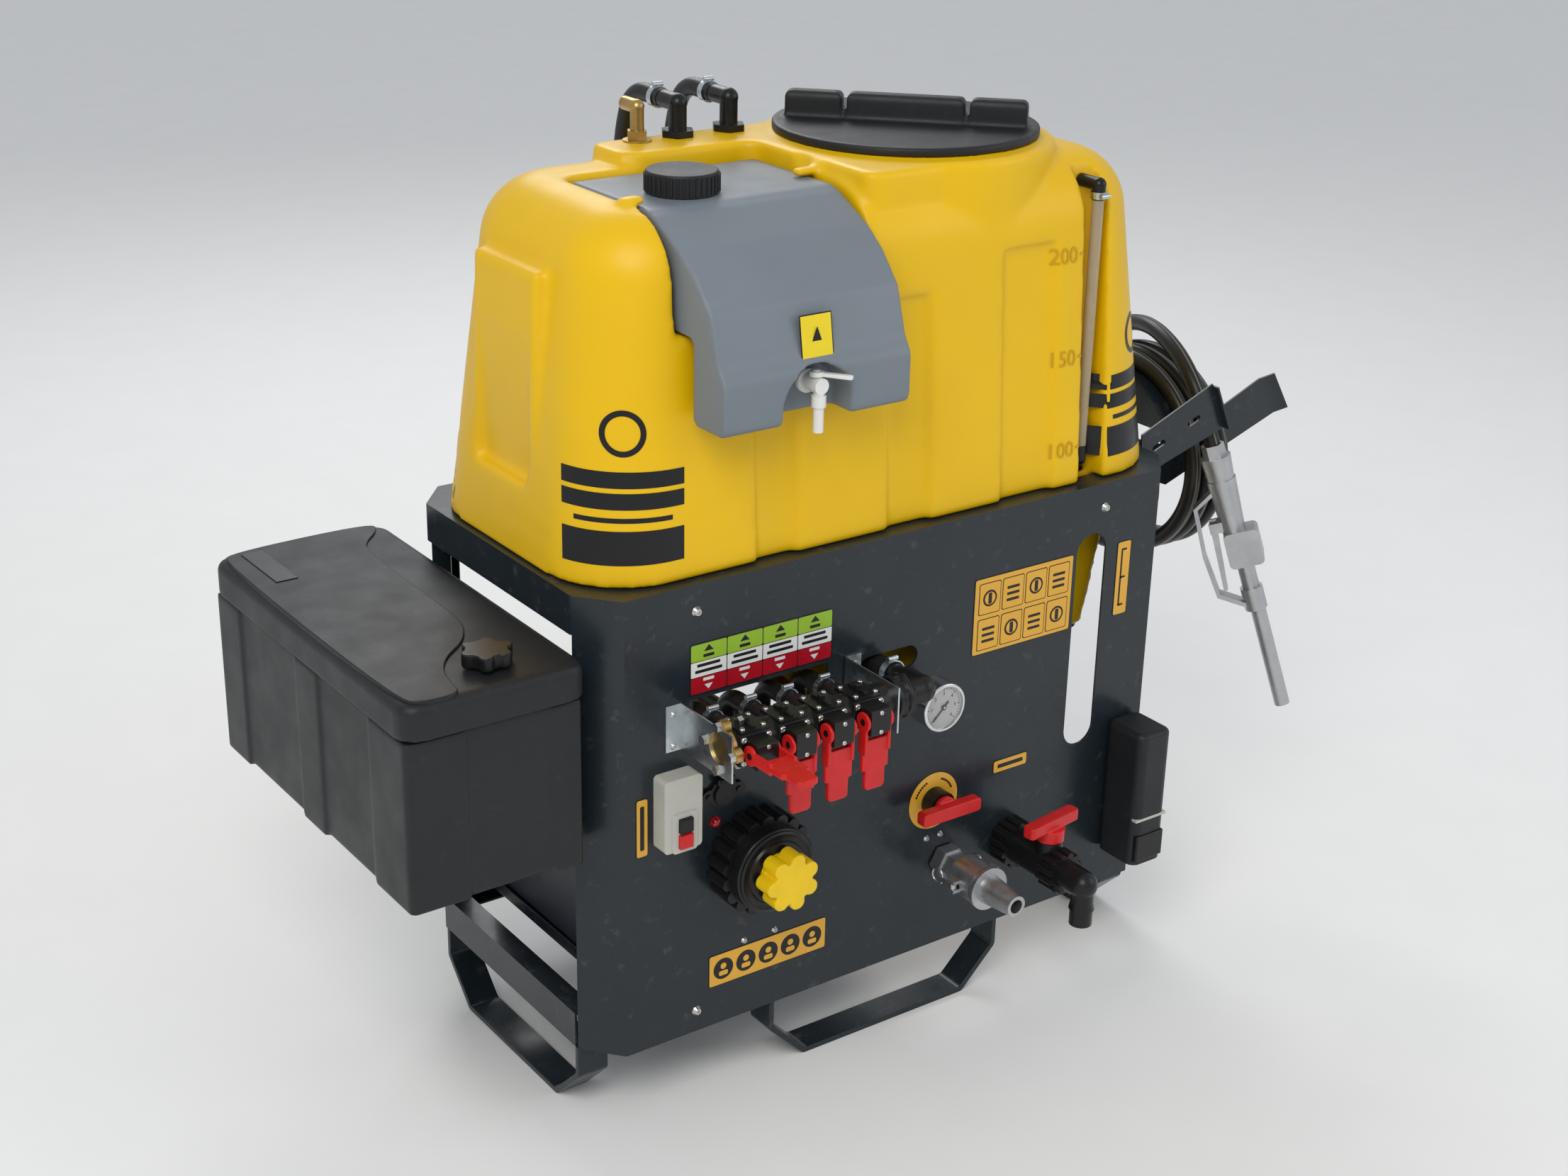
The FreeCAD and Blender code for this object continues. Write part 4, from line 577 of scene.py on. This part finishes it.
def corner_decal(name, tank_tree, corner, facing):
    """Plain black plate, two bars, a line and a ring on a rounded corner of the tank."""
    facing = math.radians(facing)
    outward = Vector((math.sin(facing), -math.cos(facing), 0))
    across = Vector((math.cos(facing), math.sin(facing), 0))
    up = Vector((0, 0, 1))
    mesh = bmesh.new()
    bars = ((30, 42, 146), (82, 6, 118), (98, 20, 146), (124, 20, 146))
    for low, tall, wide in bars:
        middle = at(*corner, low + tall / 2) + outward * 0.2
        grid(mesh, middle, across, up, wide / 1000, tall / 1000, 24, 6)
    annulus(mesh, at(*corner, 190) + outward * 0.2, across, up, 0.021, 0.028)
    wrap(mesh, tank_tree, -outward)
    piece(name, mesh, "station", "black_plastic", FILM_BLACK)


def make_numbers(tank_tree):
    """Level figures and dashes on the front wall, standing just proud of it, in the tank's yellow painted
    darker as shade on the moulded relief.
    """
    mesh = bmesh.new()
    for text, z in (("200", 318), ("150", 180), ("100", 54)):
        text_mesh(mesh, text, 0.030, at(726, -100, z - 10), align_x="RIGHT")
        grid(mesh, at(735, -100, z), Vector((1, 0, 0)), Vector((0, 0, 1)), 0.010, 0.003, 4, 1)
    wrap(mesh, tank_tree, Vector((0, 1, 0)), 0.0012)
    piece("level_numbers", mesh, "station", "tank_yellow", SHADED_RAISED_YELLOW)


def rounded_plate(mesh, x, z, wide, tall, front, thick=0.4, corner=4, steps=5):
    """Film on the panel with round corners: low corner, size and front face, in millimetres."""
    left, right = x + corner, x + wide - corner
    low, high = z + corner, z + tall - corner
    points = []
    for quarter, (middle_x, middle_z) in enumerate(((right, high), (left, high), (left, low), (right, low))):
        for step in range(steps + 1):
            angle = math.radians(90 * quarter + 90 * step / steps)
            points.append((middle_x + corner * math.cos(angle), middle_z + corner * math.sin(angle)))
    add_prism(mesh, points, front, thick)


def disc_points(x, z, radius, sides=32):
    """Corners of a disc in the panel's plane."""
    angles = [2 * math.pi * index / sides for index in range(sides)]
    return [(x + radius * math.cos(angle), z + radius * math.sin(angle)) for angle in angles]


def text_mesh(mesh, text, size, place, thick=0.0, **align):
    """Add figures that face the front of the machine."""
    data = bpy.data.curves.new("figures", "FONT")
    data.body = text
    data.size = size
    data.extrude = thick
    for name, choice in align.items():
        setattr(data, name, choice)
    item = bpy.data.objects.new("figures", data)
    SCENE.collection.objects.link(item)
    item.matrix_world = Matrix.Translation(place) @ Matrix.Rotation(math.pi / 2, 4, "X")
    bpy.context.view_layer.update()
    shape = bpy.data.meshes.new_from_object(item.evaluated_get(bpy.context.evaluated_depsgraph_get()))
    shape.transform(item.matrix_world)
    mesh.from_mesh(shape)
    bpy.data.objects.remove(item)


AMBER_PLATES = ((15, -352, 18, 82), (548, -206, 176, 112), (600, -398, 62, 20), (806, -206, 26, 112),
                (126, -580, 190, 48))
VALVE_PITCH = 54
SELECTOR = (494, -408)


def make_labels():
    """Plain films on the panel: amber plates with plain marks, and the four-column valve film."""
    amber, black, white = bmesh.new(), bmesh.new(), bmesh.new()
    green, red = bmesh.new(), bmesh.new()
    for x, z, wide, tall in AMBER_PLATES:
        rounded_plate(black, x, z, wide, tall, -0.6, 0.5)
        rounded_plate(amber, x + 1.2, z + 1.2, wide - 2.4, tall - 2.4, -0.8, 0.5, 3)
    rounded_plate(black, 94, -148, 218, 69, -0.6, 0.5)
    for column in range(4):
        left = 95.5 + VALVE_PITCH * column
        rounded_plate(green, left, -103, 52.6, 22.5, -0.8, 0.4, 2)
        rounded_plate(white, left, -124, 52.6, 20, -0.8, 0.4, 1)
        rounded_plate(red, left, -146.5, 52.6, 21.5, -0.8, 0.4, 2)
        middle = left + 26
        add_prism(black, [(middle - 7, -91), (middle + 7, -91), (middle, -83)], -1.0, 0.3)
        add_prism(white, [(middle - 6, -136), (middle, -143), (middle + 6, -136)], -1.0, 0.3)
        for low, half in ((-99, 8), (-111, 17), (-119, 20)):
            rounded_plate(black, middle - half, low, 2 * half, 4, -1.0, 0.3, 1)
        rounded_plate(white, middle - 8, -131, 16, 4, -1.0, 0.3, 1)
    for index in range(5):
        x = 149 + 36 * index
        add_prism(black, disc_points(x, -556, 15.5), -1.0, 0.3)
        add_prism(amber, disc_points(x, -552, 4.5), -1.2, 0.3)
        rounded_plate(amber, x - 7, -566, 14, 7, -1.2, 0.3, 2.5)
    for row in range(2):
        for column in range(4):
            x, z = 556 + 41 * column, -200 + 52 * row
            rounded_plate(black, x, z, 38, 46, -1.0, 0.3, 3)
            rounded_plate(amber, x + 1.2, z + 1.2, 35.6, 43.6, -1.2, 0.3, 2.4)
            if (row + column) % 2:
                add_prism(black, disc_points(x + 19, z + 23, 12), -1.4, 0.3)
                add_prism(amber, disc_points(x + 19, z + 23, 9), -1.6, 0.3)
                rounded_plate(black, x + 16, z + 15, 6, 16, -1.8, 0.3, 1.5)
            else:
                for step in range(3):
                    rounded_plate(black, x + 8, z + 11 + 9 * step, 22, 4, -1.4, 0.3, 1.5)
    rounded_plate(black, 21, -342, 6, 62, -1.0, 0.3, 1.5)
    rounded_plate(black, 608, -391, 46, 6, -1.0, 0.3, 1.5)
    rounded_plate(black, 814, -192, 3, 84, -1.0, 0.3, 1)
    for z in (-192, -150, -108):
        rounded_plate(black, 814, z, 10, 3, -1.0, 0.3, 1)
    ring_mesh = bmesh.new()
    disc = [(42, 0), (42, 0.6), (41, 0.9), (21, 0.9), (21, 0)]
    add_lathe(ring_mesh, (SELECTOR[0], -0.5, SELECTOR[1]), (0, -1, 0), disc, 72)
    piece("selector_disc", ring_mesh, "station", "label_amber")
    for start in (25, 115):
        for step in range(7):
            angle = math.radians(start + step * 7)
            x = SELECTOR[0] + 33 * math.cos(angle) - 1.6
            z = SELECTOR[1] + 33 * math.sin(angle) - 1.6
            rounded_plate(black, x, z, 3.2, 3.2, -1.7, 0.3, 1)
    main = piece("amber_labels", amber, "station", "label_amber")
    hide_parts("label_plates")
    for name, mesh, material in (("black_print", black, FILM_BLACK), ("white_print", white, FILM_WHITE),
                                 ("green_print", green, FILM_GREEN), ("red_print", red, FILM_RED)):
        piece(name, mesh, "station", "label_amber", material)


# ---------------------------------------------------------------- toolbox

def toolbox_ribs(mesh):
    """Raised bands on the outer walls of the toolbox."""
    for low, high in ((4, 96), (236, 300), (468, 538)):
        add_block(mesh, (-293.5, low, -335), (-286, high, -112))
    for low, high in ((-289, -214), (-98, -60)):
        add_block(mesh, (low, -0.5, -335), (high, 8, -112))


LID_FIELD = [(-289, 20), (-289, 515), (-270, 538), (-66, 540), (-74, 512), (-104, 484), (-119, 450),
             (-121, 210),
             (-126, 168), (-150, 126), (-188, 98), (-211, 62), (-218, 24), (-220, 0), (-268, 1)]


def make_toolbox():
    """Toolbox and its lid, with the lid's raised field and plain name field."""
    moulded("toolbox_shell", "toolbox_body", "station", "black_plastic", 0.003, 5, extra=toolbox_ribs)
    moulded("toolbox_lid_shell", "toolbox_lid", "box_lid", "black_plastic", 0.003, 7)
    data = bpy.data.curves.new("toolbox_lid_relief", "CURVE")
    data.dimensions = "2D"
    data.fill_mode = "BOTH"
    data.extrude = 0.0022
    data.bevel_depth = 0.0016
    data.bevel_resolution = 3
    data.resolution_u = 6
    spline = data.splines.new("NURBS")
    spline.points.add(len(LID_FIELD) - 1)
    for point, (x, y) in zip(spline.points, LID_FIELD):
        place = at(x, y, 0)
        point.co = (place.x, place.y, 0, 1)
    spline.order_u = 3
    spline.use_cyclic_u = True
    item = bpy.data.objects.new("toolbox_lid_relief", data)
    SCENE.collection.objects.link(item)
    item.location.z = at(0, 0, -64.5).z
    data.materials.append(MATERIALS["black_plastic"])
    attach(item, "box_lid")
    mesh = bmesh.new()
    add_block(mesh, (-262, 412, -63), (-232, 524, -59.4))
    piece("toolbox_name_field", mesh, "box_lid", "black_gloss", bevel=0.0006)


# ---------------------------------------------------------------- small fittings

def add_screw(mesh, place, axis, radius, height):
    """Pan head screw with a round recess in its head."""
    head = [(radius, 0), (radius, height * 0.35), (radius * 0.92, height * 0.7), (radius * 0.7, height),
            (radius * 0.48, height), (radius * 0.44, height * 0.35)]
    add_lathe(mesh, place, axis, head, 18)


VALVE_X, VALVE_STEP = 118, 57
MANIFOLD = (-86, -179)


def make_manifold_screws():
    """Flanges, screws and ribs of the four valve blocks."""
    black, steel = bmesh.new(), bmesh.new()
    for index in range(4):
        x = VALVE_X + VALVE_STEP * index
        add_block(black, (x - 23, -110, -200), (x + 23, -98, -158))
        add_block(black, (x - 3, -104, -156), (x + 3, -68, -150))
        add_rod(black, (x, -86, -156), (x, -86, -145), 5)
        for side in (-18, 18):
            for z in (-194, -164):
                add_screw(steel, (x + side, -110, z), (0, -1, 0), 4.4, 2.6)
            for y in (-102, -70):
                add_screw(steel, (x + side * 0.85, y, -154), (0, 0, 1), 3.6, 2.6)
        for z in (-192, -166):
            add_screw(steel, (x, -136, z), (0, -1, 0), 3.2, 2.0)
    for y, z in ((-29, 0), (29, 0), (0, -29), (0, 29)):
        for start, end in ((74, 82), (106, 113)):
            add_rod(steel, (start, y + MANIFOLD[0], z + MANIFOLD[1]),
                    (end, y + MANIFOLD[0], z + MANIFOLD[1]), 6.4, 6)
    union = [(20, 0), (29, 0), (29, 6), (26, 8), (26, 14), (29, 16), (29, 22), (20, 22)]
    add_lathe(black, (338, *MANIFOLD), (1, 0, 0), union, 40)
    piece("manifold_flanges", black, "station", "black_gloss", bevel=0.001)
    piece("manifold_screws", steel, "station", "bolt_steel")


GAUGE = (448, -228)


def make_gauge():
    """White dial with its marks and figures, and the glass."""
    dial, marks, glass = bmesh.new(), bmesh.new(), bmesh.new()
    centre = Vector((GAUGE[0], 0, GAUGE[1]))
    add_prism(dial, disc_points(*GAUGE, 29.6, 64), -65.4, 0.5)
    for step in range(31):
        angle = math.radians(225 - 9 * step)
        long = 4.5 if step % 5 == 0 else 2.4
        way = Vector((math.cos(angle), 0, math.sin(angle)))
        side = Vector((-way.z, 0, way.x)) * (0.45 if step % 5 == 0 else 0.22)
        outer, inner = centre + way * 27.5, centre + way * (27.5 - long)
        corners = (inner - side, outer - side, outer + side, inner + side)
        add_prism(marks, [(corner.x, corner.z) for corner in corners], -65.7, 0.25)
    for step in range(7):
        angle = math.radians(225 - 45 * step)
        place = at(GAUGE[0] + 19 * math.cos(angle), -65.6, GAUGE[1] + 19 * math.sin(angle))
        text_mesh(marks, str(step), 0.0068, place, 0.0001, align_x="CENTER", align_y="CENTER")
    add_lathe(glass, (GAUGE[0], -68.2, GAUGE[1]), (0, -1, 0), [(30, 0), (30, 0.8), (28, 1.3), (10, 1.6)], 64)
    piece("gauge_dial", dial, "station", "gauge_steel", FILM_WHITE)
    piece("gauge_marks", marks, "station", "needle_black")
    piece("gauge_glass", glass, "station", "sight_clear", GLASS)


def make_small_parts():
    """Rings on the filter cover, the soap dispenser's band, and the hand-wash tank's sticker."""
    rings = bmesh.new()
    cover = [(56, 0), (56, 2.5), (53, 4), (50, 2), (44, 2), (42, 5), (36, 6.5), (31, 6.5)]
    add_lathe(rings, (190, -57.5, -396), (0, -1, 0), cover, 72)
    piece("filter_cover_rings", rings, "station", "black_gloss")
    band = bmesh.new()
    add_block(band, (813, -76.6, -505), (871, -40, -501))
    piece("soap_band", band, "station", "switch_grey")
    sticker, print_black = bmesh.new(), bmesh.new()
    lean = Matrix.Rotation(math.radians(-9), 4, "X")
    for mesh, half, tall, depth in ((print_black, 23.5, 27.5, -41.5), (sticker, 22, 26, -41.9)):
        add_block(mesh, (243 - half, depth - 0.2, 300 - tall), (243 + half, depth + 0.2, 300 + tall), lean)
    add_prism(print_black, disc_points(243, 292, 7.5, 24), -42.4, 0.5)
    add_prism(print_black, [(236, 295), (250, 295), (243, 312)], -42.9, 0.9)
    piece("sticker_edge", print_black, "station", "black_plastic", FILM_BLACK)
    piece("sticker_face", sticker, "station", "label_amber", FILM_YELLOW)


make_camera()
make_hose()
make_light()
make_floor()
finish_cad_nodes()
tank_piece = make_tanks()
tank_surface = surface_tree(tank_piece)
corner_decal("left_corner_print", tank_surface, (77, 127), -31)
corner_decal("right_corner_print", tank_surface, (803, 127), 31)
make_numbers(tank_surface)
make_small_mouldings()
make_cap_ribs()
make_labels()
make_toolbox()
make_manifold_screws()
make_gauge()
make_small_parts()
